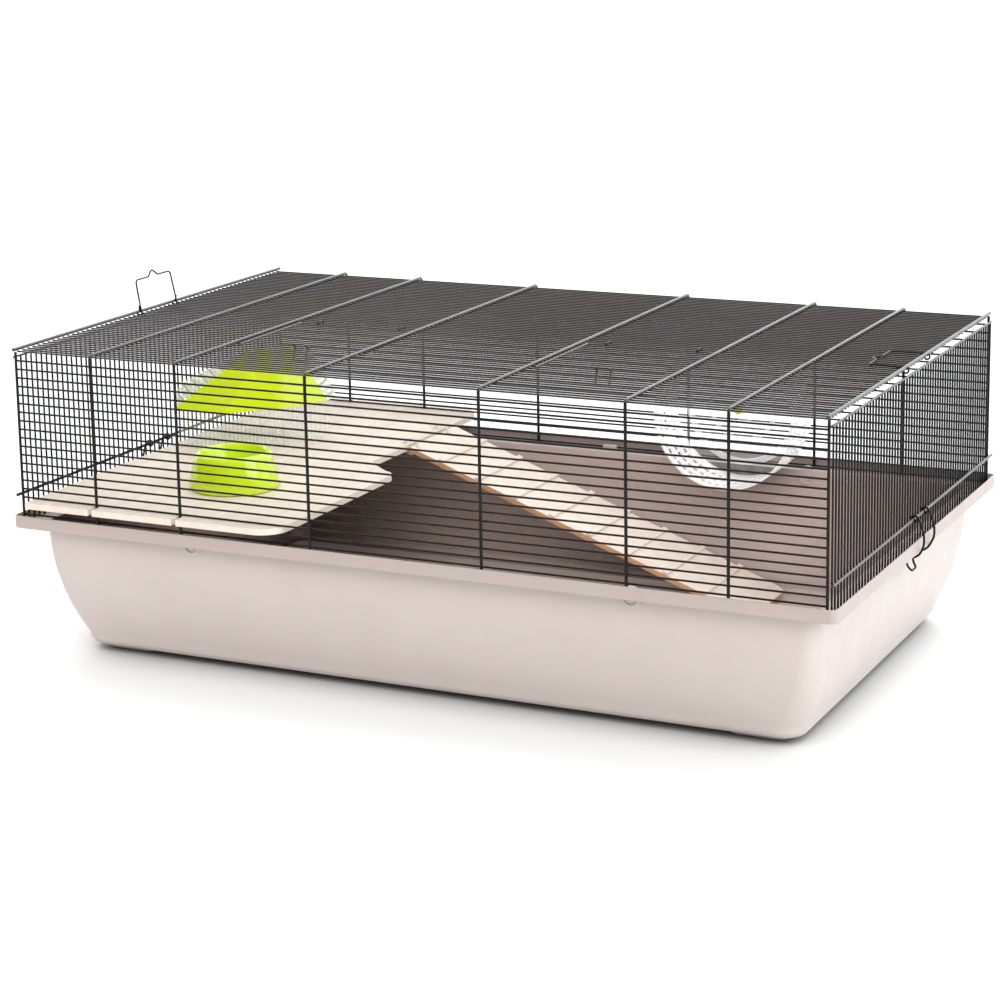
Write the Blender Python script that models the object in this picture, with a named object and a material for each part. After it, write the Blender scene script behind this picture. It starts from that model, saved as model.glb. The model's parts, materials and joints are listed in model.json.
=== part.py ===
"""Wide hamster cage: moulded tub, wire top with two roof doors, wooden platform, ramp, wheel, house and bowl.
Metres, +Z up, origin at the bottom centre, +X to the right along the length, the front faces -Y."""
import math

import bpy
import bmesh
from mathutils import Matrix, Vector

# ---- driving dimensions --------------------------------------------------------------------------
GAP = 0.0003                 # clearance between separate pieces
RIM = 0.1470                 # top of the tub's rim above the ground
WIRE_H = 0.1653              # rim top to the centre of the roof wires
ROOF = RIM + WIRE_H
LINE = 0.0009                # half section of a line wire
BAR = 0.0030                 # width of the frame bars
STAY_R = 0.0015              # radius of a stay wire
LEDGE = RIM - 0.0090         # the wire top stands on this ledge inside the rim's lip
ROWS = 20                    # line wires of the front and of the back
COLUMNS = 60                 # line wires across the roof, and uprights of an end panel
ROW_1 = RIM + 0.0012         # second row, just above the lip
ROW_PITCH = (ROOF - ROW_1) / (ROWS - 1)
ROW_0 = ROW_1 - ROW_PITCH
FRAME_X = 0.4185             # outer face of the front, roof and back frames
FACE_Y = 0.2567              # centre of the front and back line wires
COLUMN_Y = 0.2532            # centre of the outermost roof wires
COLUMN_PITCH = 2 * COLUMN_Y / (COLUMNS - 1)
STAY_X = (-0.328, -0.232, -0.0895, 0.0895, 0.232, 0.328)
STAY_BEND = 0.005
END_X = FRAME_X + GAP + LINE
LOW_STAY_Z = RIM + 0.0205
LOW_STAY_X = END_X + LINE + GAP + STAY_R
LOW_STAY_HALF = 0.2590
END_TOP = ROOF - 0.0038
DOOR_FIRST = 13              # roof wires that belong to the doors
DOOR_LAST = 27
DOORS = {"left": (STAY_X[1], STAY_X[2]), "right": (STAY_X[3], STAY_X[4])}
DOOR_RING_R = 0.0025
DOOR_RING_WIRE = 0.0008
DOOR_RING_INSET = 0.0220
LATCH_HALF = 0.0070
LATCH_R = 0.0009
# Side of a latch from its tip over the front wire and down to its hook: (y, z) from that wire.
LATCH_SIDE = ((-0.0036, 0.0046), (-0.0016, 0.0036), (0.0, 0.0026), (0.0019, 0.0018), (0.0027, 0.0),
              (0.0019, -0.0018), (0.0005, -0.0034), (-0.0006, -0.0070), (-0.0016, -0.0106), (-0.0082, -0.0118))

RIM_X = 0.4270
RIM_Y = 0.2629
RIM_CORNER = 0.0070
RIM_EDGE = 0.0006
LIP = 0.0016                 # thickness of the rim's lip
SKIRT = 0.0124
WALL = 0.0025
WALL_TOP_INSET = 0.0145      # tub wall inward of the wire planes, at the rim
WALL_BOTTOM_INSET = 0.0430
WALL_BOW = 2.2
WALL_START = RIM - 0.0150    # the wall curves in below this height
TUB_BOTTOM = 0.0060
BOTTOM_FILLET = 0.0120
CORNER_TOP = 0.0140
CORNER_BOTTOM = 0.0260
CORNER_STEPS = 5
WALL_RINGS = 7
TAB_X = 0.2300
TAB_R = 0.0100
TAB_DEPTH = 0.0060
FOOT = (0.3347, 0.1837)
# Rings of a foot from the ground up: half length, half width, corner radius, height.
FOOT_RINGS = ((0.0270, 0.0150, 0.0110, 0.0), (0.0310, 0.0190, 0.0140, 0.0015),
              (0.0335, 0.0215, 0.0150, 0.0040), (0.0352, 0.0232, 0.0160, TUB_BOTTOM + 0.0020))
LUG_HALF = 0.0075            # a small lug on the ledge at the middle of the front and of the back
LUG_Y = (0.2492, 0.2550)
LUG_ROOT = 0.0004
LUG_HEIGHT = 0.0048

HANDLE_R = 0.0009
HANDLE_EYE = 0.0028
HANDLE_LEAN = math.radians(11)   # the standing handle leans outward
HANDLE_COLUMNS = 4           # eyes sit this many roof gaps from the middle
HANDLE_REACH = 0.0355
HANDLE_PEAK = 0.0070
HANDLE_NECK = 0.0120
HANDLE_TAPER = 0.0010
HANDLE_PEAK_HALF = 0.0090
HANDLE_BEND = 0.0060
CLIP_R = 0.0011
CLIP_EYE = 0.0030
CLIP_COLUMNS = 2
CLIP_TAB_HALF = 0.0078
# Leg of a clip below its eye, round the rim and back to the hook: outward, inward from the eye, up.
CLIP_LEG = ((0.0030, 0.0, 0.0021), (0.0058, 0.0, -0.0026), (0.0080, 0.0, -0.0085), (0.0096, 0.0, -0.0155),
            (0.0099, 0.0, -0.0210), (0.0092, 0.0005, -0.0260), (0.0068, 0.0015, -0.0315),
            (0.0046, 0.0025, -0.0350), (0.0010, 0.0035, -0.0378), (-0.0034, 0.0045, -0.0390),
            (-0.0080, 0.0055, -0.0410), (-0.0091, 0.0065, -0.0436))
# The square hook at its end: outward, from the middle of the clip, up.
CLIP_HOOK = ((-0.0076, CLIP_TAB_HALF + 0.0012, -0.0494), (-0.0050, CLIP_TAB_HALF - 0.0008, -0.0530),
             (-0.0044, CLIP_TAB_HALF - 0.0026, -0.0538))

BOARD = 0.0062
BOARD_LOW = ROW_1 + ROW_PITCH + LINE + GAP
BOARD_TOP = BOARD_LOW + BOARD
BOARD_LEFT = -0.4040
BOARD_LIP = 0.2725
BOARD_RIGHT = -0.1195
BOARD_NOTCH = -0.1655
BOARD_CORNER = 0.0260
BOARD_BUMP = 0.0180
BOARD_BUMP_Y = -0.0400
BOARD_STEP = ((BOARD_NOTCH + 0.0110, -0.0040), (BOARD_NOTCH, 0.0100))
SLOT_HALF = 0.0025
SLOT_END = 0.2570

HINGE_X = -0.1655
HINGE_Z = BOARD_LOW + BOARD / 2
RING_R = 0.0085
RING_WIRE = 0.0011
RING_HOLE = 0.0023
RING_Y = (0.0970, 0.1700)
RAMP_Y = (0.0872, 0.1965)
RAMP_START = 0.0025
RAMP_LENGTH = 0.4150
RAMP_ANGLE = math.radians(20.55)
RAMP_HALF = 0.0030
RAMP_CORNER = 0.0120
TREADS = 8
TREAD_FIRST = 0.0385
TREAD_PITCH = 0.0455
TREAD_WIDTH = 0.0060
TREAD_LOW = RAMP_HALF + 0.0001
TREAD_TOP = RAMP_HALF + 0.0030

WHEEL_X = 0.1615
WHEEL_Z = RIM + 0.0556
WHEEL_R = 0.0766
WHEEL_FRONT = 0.1700
WHEEL_BACK = 0.2350
WHEEL_WALL = 0.0020
WHEEL_SEGMENTS = 40
# Places along the wheel's wall where a band starts or ends; the slots are in every second band.
WHEEL_BANDS = (0.0, 0.0080, 0.0155, 0.0235, 0.0310, 0.0390, 0.0465, WHEEL_BACK - WHEEL_FRONT - WHEEL_WALL)
AXLE_R = 0.0040
AXLE_FRONT = WHEEL_BACK - 0.0160
HUB_R = 0.0100
HUB_END_R = 0.0085
HUB_LENGTH = 0.0120
BRACKET_R = 0.0170
BRACKET_FRONT = WHEEL_BACK + 0.0020
CAP_R = 0.0048
CAP_END_R = CAP_R - 0.0015
CAP_FRONT = WHEEL_BACK - 0.0210

BOWL_X, BOWL_Y = -0.2450, -0.1360
BOWL_BASE_R, BOWL_TOP_R, BOWL_H = 0.0455, 0.0370, 0.0365
# Section of the bowl from its base, over the edge and down to the inside floor: radius, height.
BOWL_SECTION = ((BOWL_BASE_R - 0.0015, 0.0), (BOWL_BASE_R, 0.0030), (BOWL_TOP_R, BOWL_H - 0.0020),
                (BOWL_TOP_R - 0.0010, BOWL_H), (BOWL_TOP_R - 0.0030, BOWL_H - 0.0006),
                (BOWL_TOP_R - 0.0060, 0.0180), (BOWL_TOP_R - 0.0120, 0.0130))

HOUSE_EAVE_Z = RIM + 0.0600
HOUSE_PEAK_Z = RIM + 0.1180
# Corners of the house's roof: (x, y) at the eave, then (x, y, z) of the corner above it.
HOUSE_CORNERS = (
    ((-0.4000, 0.1120), (-0.3960, 0.1080, RIM + 0.0930)),
    ((-0.4000, -0.0060), (-0.3960, 0.0060, RIM + 0.0840)),
    ((-0.3910, -0.0170), (-0.3290, 0.0420, HOUSE_PEAK_Z)),
    ((-0.3280, -0.0150), (-0.3180, 0.0450, HOUSE_PEAK_Z)),
    ((-0.2910, 0.0210), (-0.3040, 0.0500, HOUSE_PEAK_Z)),
    ((-0.2690, 0.0500), (-0.2920, 0.0550, HOUSE_PEAK_Z)),
    ((-0.2580, 0.0820), (-0.2830, 0.0620, HOUSE_PEAK_Z)),
    ((-0.2610, 0.1080), (-0.2900, 0.1000, HOUSE_PEAK_Z)),
)
HOUSE_CAPS = ((2, 3, 4, 5, 6, 7), (0, 1, 2), (0, 2, 7))     # flat pieces of the top, by corner
HOUSE_MIDDLE = (-0.3400, 0.0560)
HOUSE_INSET = 0.0060         # the walls stand this far in from the eave
HOUSE_WALL = 0.0025
LID_WALL = 0.0026
LID_SIDE = 0.0039            # wall of the lid, measured along its slope's foot
DOOR_WAY = (-0.3310, -0.0080)
DOOR_AXIS = math.radians(290)    # the way the doorway faces, from +X anticlockwise
DOOR_HALF = 0.0300
DOOR_SILL = 0.0100
DOOR_HEAD = 0.0060
DOOR_ARCH = 0.0180
DOOR_DEPTH = (-0.0260, 0.0220)
# --------------------------------------------------------------------------------------------------

for old in list(bpy.data.objects):
    bpy.data.objects.remove(old, do_unlink=True)


def material(name, colour, rough, metal=0.0, clear=0.0):
    made = bpy.data.materials.new(name)
    made.use_nodes = True
    shader = made.node_tree.nodes["Principled BSDF"]
    shader.inputs["Base Color"].default_value = (*colour, 1)
    shader.inputs["Roughness"].default_value = rough
    shader.inputs["Metallic"].default_value = metal
    shader.inputs["Transmission Weight"].default_value = clear
    return made


BEIGE = material("beige_plastic", (0.62, 0.54, 0.49), 0.45)
BLACK = material("black_coated_wire", (0.03, 0.026, 0.028), 0.4)
WOOD = material("pale_wood", (0.80, 0.70, 0.60), 0.6)
CLEAR = material("clear_plastic", (0.90, 0.92, 0.95), 0.08, clear=0.9)
LIME = material("lime_plastic", (0.52, 0.72, 0.01), 0.25)
WHITE = material("white_plastic", (0.85, 0.85, 0.85), 0.4)


def finish(name, mesh, look, smooth=False):
    made = bpy.data.objects.new(name, mesh)
    bpy.context.scene.collection.objects.link(made)
    if not mesh.materials:
        mesh.materials.append(look)
    if smooth:
        for face in mesh.polygons:
            face.use_smooth = True
    return made


def mesh_from(name, points, faces, look, smooth=False):
    mesh = bpy.data.meshes.new(name)
    mesh.from_pydata([tuple(p) for p in points], [], faces)
    work = bmesh.new()
    work.from_mesh(mesh)
    bmesh.ops.recalc_face_normals(work, faces=work.faces)
    work.to_mesh(mesh)
    work.free()
    return finish(name, mesh, look, smooth)


def tube(name, path, radius, look, cyclic=False, resolution=1):
    """A round wire along a path of points."""
    curve = bpy.data.curves.new(name, "CURVE")
    curve.dimensions = "3D"
    curve.bevel_depth = radius
    curve.bevel_resolution = resolution
    curve.use_fill_caps = True
    spline = curve.splines.new("POLY")
    spline.points.add(len(path) - 1)
    for point, place in zip(spline.points, path):
        point.co = (*place, 1)
    spline.use_cyclic_u = cyclic
    spline.use_smooth = True
    curve.materials.append(look)
    made = bpy.data.objects.new(name, curve)
    bpy.context.scene.collection.objects.link(made)
    return made


def rounded(path, radius, steps=3, cyclic=False):
    """The path with an arc of this radius in place of each corner."""
    path = [Vector(p) for p in path]
    count = len(path)
    made = []
    for i, corner in enumerate(path):
        if not cyclic and i in (0, count - 1):
            made.append(corner)
            continue
        before = path[i - 1] - corner
        after = path[(i + 1) % count] - corner
        turn = before.angle(after)
        cut = min(radius / math.tan(turn / 2), 0.45 * before.length, 0.45 * after.length)
        start = corner + before.normalized() * cut
        end = corner + after.normalized() * cut
        for step in range(steps + 1):
            t = step / steps
            made.append(start.lerp(corner, t).lerp(corner.lerp(end, t), t))
    return made


def ladder(name, across, length, places, middle, half, look):
    """Wires side by side between two bars. across: axis of the wires; length: their span with the bars;
    places: (axis, centres) of the wires; middle: (axis, centre) of the plane; half: half section."""
    wire_axis = "XYZ".index(across)
    place_axis = "XYZ".index(places[0])
    flat_axis = "XYZ".index(middle[0])
    centres = places[1]

    def corner(u, v, w):
        point = [0.0, 0.0, 0.0]
        point[wire_axis] = u
        point[place_axis] = v
        point[flat_axis] = middle[1] + w
        return point

    points, faces = [], []
    for side in (-half, half):
        for end, bar in ((length[0], BAR), (length[1], -BAR)):
            points.append(corner(end, centres[0] - half, side))
            points.append(corner(end, centres[-1] + half, side))
            for centre in centres:
                points.append(corner(end + bar, centre - half, side))
                points.append(corner(end + bar, centre + half, side))
    inner = 2 * len(centres)
    block = inner + 2

    def index(layer, end, k):
        return (layer * 2 + end) * block + k

    middle_step = inner // 2
    for layer in (0, 1):
        for end in (0, 1):
            for k in range(inner - 1):
                outer = 0 if k < middle_step else 1
                faces.append((index(layer, end, outer), index(layer, end, 2 + k), index(layer, end, 3 + k)))
            faces.append((index(layer, end, 0), index(layer, end, 2 + middle_step), index(layer, end, 1)))
        for n in range(len(centres)):
            faces.append((index(layer, 0, 2 + 2 * n), index(layer, 0, 3 + 2 * n),
                          index(layer, 1, 3 + 2 * n), index(layer, 1, 2 + 2 * n)))
    for end in (0, 1):
        faces.append((index(0, end, 0), index(0, end, 1), index(1, end, 1), index(1, end, 0)))
        for k, m in ((0, 2), (1, 1 + inner)):
            faces.append((index(0, end, k), index(0, end, m), index(1, end, m), index(1, end, k)))
        for n in range(len(centres) - 1):
            a, b = 3 + 2 * n, 4 + 2 * n
            faces.append((index(0, end, a), index(0, end, b), index(1, end, b), index(1, end, a)))
    for n in range(len(centres)):
        for k in (2 + 2 * n, 3 + 2 * n):
            faces.append((index(0, 0, k), index(0, 1, k), index(1, 1, k), index(1, 0, k)))
    return mesh_from(name, points, faces, look)


def ring_of(half_x, half_y, radius, z, middle=(0.0, 0.0)):
    """A rounded rectangle as points, anticlockwise seen from above."""
    made = []
    for sx, sy, first in ((1, 1, 0), (-1, 1, 90), (-1, -1, 180), (1, -1, 270)):
        for step in range(CORNER_STEPS + 1):
            angle = math.radians(first + 90 * step / CORNER_STEPS)
            made.append((middle[0] + sx * (half_x - radius) + radius * math.cos(angle),
                         middle[1] + sy * (half_y - radius) + radius * math.sin(angle), z))
    return made


def loft(name, rings, look, smooth=True, caps=None):
    """A closed body through rings of equal count, with a cap at each end. caps: the pieces of a folded cap."""
    count = len(rings[0])
    points = [p for ring in rings for p in ring]
    last = (len(rings) - 1) * count
    faces = [tuple(first + k for k in piece) for first in (0, last) for piece in caps or (range(count),)]
    for r in range(len(rings) - 1):
        for k in range(count):
            n = (k + 1) % count
            faces.append((r * count + k, r * count + n, (r + 1) * count + n, (r + 1) * count + k))
    return mesh_from(name, points, faces, look, smooth)


def prism(name, outline, low, high, look, holes=()):
    """A plate with this outline; holes are round, as (x, y, radius)."""
    count = len(outline)
    points = [(x, y, low) for x, y in outline] + [(x, y, high) for x, y in outline]
    faces = [tuple(range(count)), tuple(range(count, 2 * count))]
    for k in range(count):
        n = (k + 1) % count
        faces.append((k, n, count + n, count + k))
    made = mesh_from(name, points, faces, look)
    for number, (x, y, radius) in enumerate(holes):
        cut(made, cylinder(f"{name}_hole_{number}", (x, y, low - 0.004), (x, y, high + 0.004), radius, 12))
    return made


def cylinder(name, start, end, radius, sides=24, look=None, end_radius=None):
    start, end = Vector(start), Vector(end)
    along = end - start
    turn = along.to_track_quat("Z", "Y").to_matrix().to_4x4()
    work = bmesh.new()
    bmesh.ops.create_cone(work, cap_ends=True, segments=sides, radius1=radius,
                          radius2=radius if end_radius is None else end_radius, depth=along.length)
    bmesh.ops.transform(work, matrix=Matrix.Translation((start + end) / 2) @ turn, verts=work.verts)
    mesh = bpy.data.meshes.new(name)
    work.to_mesh(mesh)
    work.free()
    return finish(name, mesh, look or WHITE)


def helper(made):
    made.hide_render = True
    made.display_type = "WIRE"
    return made


def combine(target, other, operation):
    modifier = target.modifiers.new(operation.title(), "BOOLEAN")
    modifier.operation = operation
    modifier.solver = "EXACT"
    modifier.object = helper(other)


def cut(target, cutter):
    combine(target, cutter, "DIFFERENCE")


def join(target, other):
    combine(target, other, "UNION")


# ---- tub -----------------------------------------------------------------------------------------
def wall_inset(t):
    return WALL_TOP_INSET + (WALL_BOTTOM_INSET - WALL_TOP_INSET) * t ** WALL_BOW


def wall_rings(thickness):
    """Rings of the bowed wall from the top down to the start of the bottom fillet, then the fillet."""
    made = []
    floor = TUB_BOTTOM + thickness
    fillet = BOTTOM_FILLET - thickness
    top = LEDGE - WALL
    for step in range(WALL_RINGS):
        z = top + (floor + fillet - top) * step / (WALL_RINGS - 1)
        t = max(0.0, (WALL_START - z) / (WALL_START - TUB_BOTTOM))
        inset = wall_inset(t) + thickness
        corner = CORNER_TOP + (CORNER_BOTTOM - CORNER_TOP) * t - thickness
        made.append((END_X - inset, FACE_Y - inset, corner, z))
    half_x, half_y, corner, _ = made[-1]
    for angle in (30, 60, 90):
        pull = fillet * (1 - math.cos(math.radians(angle)))
        made.append((half_x - pull, half_y - pull, corner - pull,
                     floor + fillet * (1 - math.sin(math.radians(angle)))))
    return made


def build_tub():
    outer = wall_rings(0.0)
    inner = wall_rings(WALL)
    under = LEDGE - WALL
    mouth_x, mouth_y, mouth_corner, _ = inner[0]

    def rim_ring(inset, z):
        return ring_of(RIM_X - inset, RIM_Y - inset, RIM_CORNER - inset, z)

    rings = [ring_of(*spec) for spec in reversed(outer)]
    rings += [rim_ring(LIP, under), rim_ring(LIP, RIM - SKIRT), rim_ring(0.0, RIM - SKIRT),
              rim_ring(0.0, RIM - RIM_EDGE), rim_ring(RIM_EDGE, RIM), rim_ring(LIP, RIM), rim_ring(LIP, LEDGE)]
    rings.append(ring_of(mouth_x, mouth_y, mouth_corner, LEDGE))
    rings += [ring_of(*spec) for spec in inner]
    tub = loft("tub", rings, BEIGE)
    for sx in (-1, 1):
        for sy in (-1, 1):
            place = (sx * FOOT[0], sy * FOOT[1])
            join(tub, loft(f"foot_{sx}_{sy}", [ring_of(*spec, place) for spec in FOOT_RINGS], BEIGE))
            wall_y = FACE_Y - WALL_TOP_INSET
            tab = cylinder(f"tab_{sx}_{sy}", (sx * TAB_X, sy * (wall_y - WALL / 2), WALL_START),
                           (sx * TAB_X, sy * (wall_y + TAB_DEPTH), WALL_START), TAB_R, 20)
            join(tub, tab)
    for sy in (-1, 1):
        near, far = (sy * y for y in LUG_Y)
        corners = [(-LUG_HALF, near), (LUG_HALF, near), (LUG_HALF, far), (-LUG_HALF, far)]
        join(tub, prism(f"lug_{sy}", corners, LEDGE - LUG_ROOT, LEDGE + LUG_HEIGHT, BEIGE))


build_tub()

# ---- wire top ------------------------------------------------------------------------------------
row_z = [ROW_0 + ROW_PITCH * k for k in range(ROWS)]
column_y = [-COLUMN_Y + COLUMN_PITCH * k for k in range(COLUMNS)]
full = (-FRAME_X, FRAME_X)
ladder("front_grid", "X", full, ("Z", row_z), ("Y", -FACE_Y), LINE, BLACK)
ladder("back_grid", "X", full, ("Z", row_z), ("Y", FACE_Y), LINE, BLACK)
ladder("roof_front", "X", full, ("Y", column_y[:DOOR_FIRST]), ("Z", ROOF), LINE, BLACK)
ladder("roof_back", "X", full, ("Y", column_y[DOOR_LAST + 1:]), ("Z", ROOF), LINE, BLACK)
door_columns = column_y[DOOR_FIRST:DOOR_LAST + 1]
half_bar = BAR / 2
for name, low, high in (("roof_left", -FRAME_X, STAY_X[1] + half_bar),
                        ("roof_middle", STAY_X[2] - half_bar, STAY_X[3] + half_bar),
                        ("roof_right", STAY_X[4] - half_bar, FRAME_X)):
    ladder(name, "X", (low, high), ("Y", door_columns), ("Z", ROOF), LINE, BLACK)
for side, name in ((-1, "left"), (1, "right")):
    ladder(f"{name}_end_grid", "Z", (LEDGE + GAP, END_TOP), ("Y", column_y), ("X", side * END_X), LINE, BLACK)
    tube(f"{name}_low_stay", [(side * LOW_STAY_X, -LOW_STAY_HALF, LOW_STAY_Z),
                              (side * LOW_STAY_X, LOW_STAY_HALF, LOW_STAY_Z)], STAY_R, BLACK, resolution=2)
stay_y = FACE_Y + LINE + GAP + STAY_R
stay_z = ROOF + LINE + GAP + STAY_R
for number, x in enumerate(STAY_X, 1):
    path = [(x, -stay_y, LEDGE + GAP), (x, -stay_y, stay_z), (x, stay_y, stay_z), (x, stay_y, LEDGE + GAP)]
    tube(f"stay_{number}", rounded(path, STAY_BEND, 4), STAY_R, BLACK, resolution=2)

# ---- roof doors, their rings and latches ---------------------------------------------------------
hinge_y = column_y[DOOR_LAST + 1]
for name, (low, high) in DOORS.items():
    door_low = low + half_bar + 2 * GAP
    door_high = high - half_bar - 2 * GAP
    ladder(f"door_{name}", "X", (door_low, door_high), ("Y", door_columns), ("Z", ROOF), LINE, BLACK)
    for number, x in enumerate((door_low + DOOR_RING_INSET, door_high - DOOR_RING_INSET), 1):
        loop = []
        for step in range(8):
            angle = math.radians(-90 + 180 * step / 7)
            loop.append((x, hinge_y + DOOR_RING_R * math.cos(angle), ROOF + DOOR_RING_R * math.sin(angle)))
        for step in range(8):
            angle = math.radians(90 + 180 * step / 7)
            loop.append((x, column_y[DOOR_LAST] + DOOR_RING_R * math.cos(angle),
                         ROOF + DOOR_RING_R * math.sin(angle)))
        tube(f"door_{name}_ring_{number}", loop, DOOR_RING_WIRE, BLACK, cyclic=True)
    middle = (low + high) / 2
    front = column_y[DOOR_FIRST]
    loop = [(middle + LATCH_HALF, front + y, ROOF + z) for y, z in LATCH_SIDE]
    loop += [(middle - LATCH_HALF, front + y, ROOF + z) for y, z in reversed(LATCH_SIDE)]
    tube(f"latch_{name}", loop, LATCH_R, BLACK, cyclic=True)


# ---- carrying handles ----------------------------------------------------------------------------
def handle_path():
    """Half of a handle lying flat towards -X from its bar at the origin, from its eye to the middle."""
    eye_y = HANDLE_COLUMNS * COLUMN_PITCH
    made = []
    for step in range(9):
        angle = math.radians(-160 + 250 * step / 8)
        made.append((HANDLE_EYE * math.cos(angle), eye_y, HANDLE_EYE * math.sin(angle)))
    made.append((-HANDLE_NECK, eye_y, HANDLE_EYE))
    made.append((-HANDLE_REACH, eye_y - HANDLE_TAPER, HANDLE_EYE))
    made.append((-HANDLE_REACH, HANDLE_PEAK_HALF, HANDLE_EYE))
    made.append((-HANDLE_REACH - HANDLE_PEAK, 0.0, HANDLE_EYE))
    return made


def full_path(half):
    other = [(x, -y, z) for x, y, z in reversed(half[:-1])]
    return half + other


def soften(path, first, last, radius, steps=3):
    """Round only the corners between two places of the path."""
    return path[:first] + [tuple(p) for p in rounded(path[first:last], radius, steps)] + path[last:]


flat = soften(full_path(handle_path()), 8, 17, HANDLE_BEND)
bar_x = FRAME_X - half_bar
tube("handle_right", [(bar_x + x, y, ROOF + z) for x, y, z in flat], HANDLE_R, BLACK)
standing = [(z * math.cos(HANDLE_LEAN) + x * math.sin(HANDLE_LEAN), y,
             z * math.sin(HANDLE_LEAN) - x * math.cos(HANDLE_LEAN)) for x, y, z in flat]
tube("handle_left", [(-bar_x + x, y, ROOF + z) for x, y, z in standing], HANDLE_R, BLACK)

# ---- end clips -----------------------------------------------------------------------------------
clip_y = CLIP_COLUMNS * COLUMN_PITCH
clip_half = []
for step in range(9):
    angle = math.radians(360 - 270 * step / 8)
    clip_half.append((CLIP_EYE * math.cos(angle), clip_y, CLIP_EYE * math.sin(angle)))
clip_half += [(x, clip_y - inward, z) for x, inward, z in CLIP_LEG]
clip_half += CLIP_HOOK
clip = clip_half + [(x, -y, z) for x, y, z in reversed(clip_half)]
for side, name in ((-1, "left"), (1, "right")):
    tube(f"clip_{name}", [(side * (LOW_STAY_X + x), y, LOW_STAY_Z + z) for x, y, z in clip], CLIP_R, BLACK)


# ---- platform ------------------------------------------------------------------------------------
def board_outline():
    notched = [STAY_X[0], STAY_X[1]]
    made = [(BOARD_LEFT, BOARD_LIP), (BOARD_LEFT, -BOARD_LIP)]
    for x in notched:
        made += [(x - SLOT_HALF, -BOARD_LIP), (x - SLOT_HALF, -SLOT_END),
                 (x + SLOT_HALF, -SLOT_END), (x + SLOT_HALF, -BOARD_LIP)]
    made += [(BOARD_RIGHT - BOARD_CORNER + BOARD_CORNER * math.sin(math.radians(a)),
              -BOARD_LIP + BOARD_CORNER - BOARD_CORNER * math.cos(math.radians(a))) for a in range(0, 91, 15)]
    made += [(BOARD_RIGHT - BOARD_BUMP + BOARD_BUMP * math.cos(math.radians(a)),
              BOARD_BUMP_Y + BOARD_BUMP * math.sin(math.radians(a))) for a in range(0, 76, 15)]
    made += BOARD_STEP
    made += [(BOARD_NOTCH - BOARD_CORNER + BOARD_CORNER * math.cos(math.radians(a)),
              BOARD_LIP - BOARD_CORNER + BOARD_CORNER * math.sin(math.radians(a))) for a in range(0, 91, 15)]
    for x in reversed(notched):
        made += [(x + SLOT_HALF, BOARD_LIP), (x + SLOT_HALF, SLOT_END),
                 (x - SLOT_HALF, SLOT_END), (x - SLOT_HALF, BOARD_LIP)]
    return made


prism("platform", board_outline(), BOARD_LOW, BOARD_TOP, WOOD,
      [(HINGE_X - RING_R, y, RING_HOLE) for y in RING_Y])

# ---- ramp, treads and the rings that carry it -----------------------------------------------------
down = Matrix.Translation((HINGE_X, 0, HINGE_Z)) @ Matrix.Rotation(RAMP_ANGLE, 4, "Y")


def ramp_outline():
    near, far = RAMP_Y
    made = [(RAMP_START, far), (RAMP_START, near)]
    for cy, first in ((near + RAMP_CORNER, -90), (far - RAMP_CORNER, 0)):
        made += [(RAMP_LENGTH - RAMP_CORNER + RAMP_CORNER * math.cos(math.radians(first + a)),
                  cy + RAMP_CORNER * math.sin(math.radians(first + a))) for a in (0, 30, 60, 90)]
    return made


ramp = prism("ramp", ramp_outline(), -RAMP_HALF, RAMP_HALF, WOOD, [(RING_R, y, RING_HOLE) for y in RING_Y])
for helper_object in [ramp] + [m.object for m in ramp.modifiers]:
    helper_object.matrix_world = down
for number in range(TREADS):
    place = TREAD_FIRST + TREAD_PITCH * number
    near, far = RAMP_Y
    outline = [(place, near), (place + TREAD_WIDTH, near), (place + TREAD_WIDTH, far), (place, far)]
    tread = prism(f"tread_{number + 1}", outline, TREAD_LOW, TREAD_TOP, WOOD)
    tread.matrix_world = down
for number, y in enumerate(RING_Y, 1):
    circle = [(HINGE_X + RING_R * math.cos(math.radians(a)), y, HINGE_Z + RING_R * math.sin(math.radians(a)))
              for a in range(0, 360, 18)]
    tube(f"ramp_ring_{number}", circle, RING_WIRE, WHITE, cyclic=True)


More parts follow.
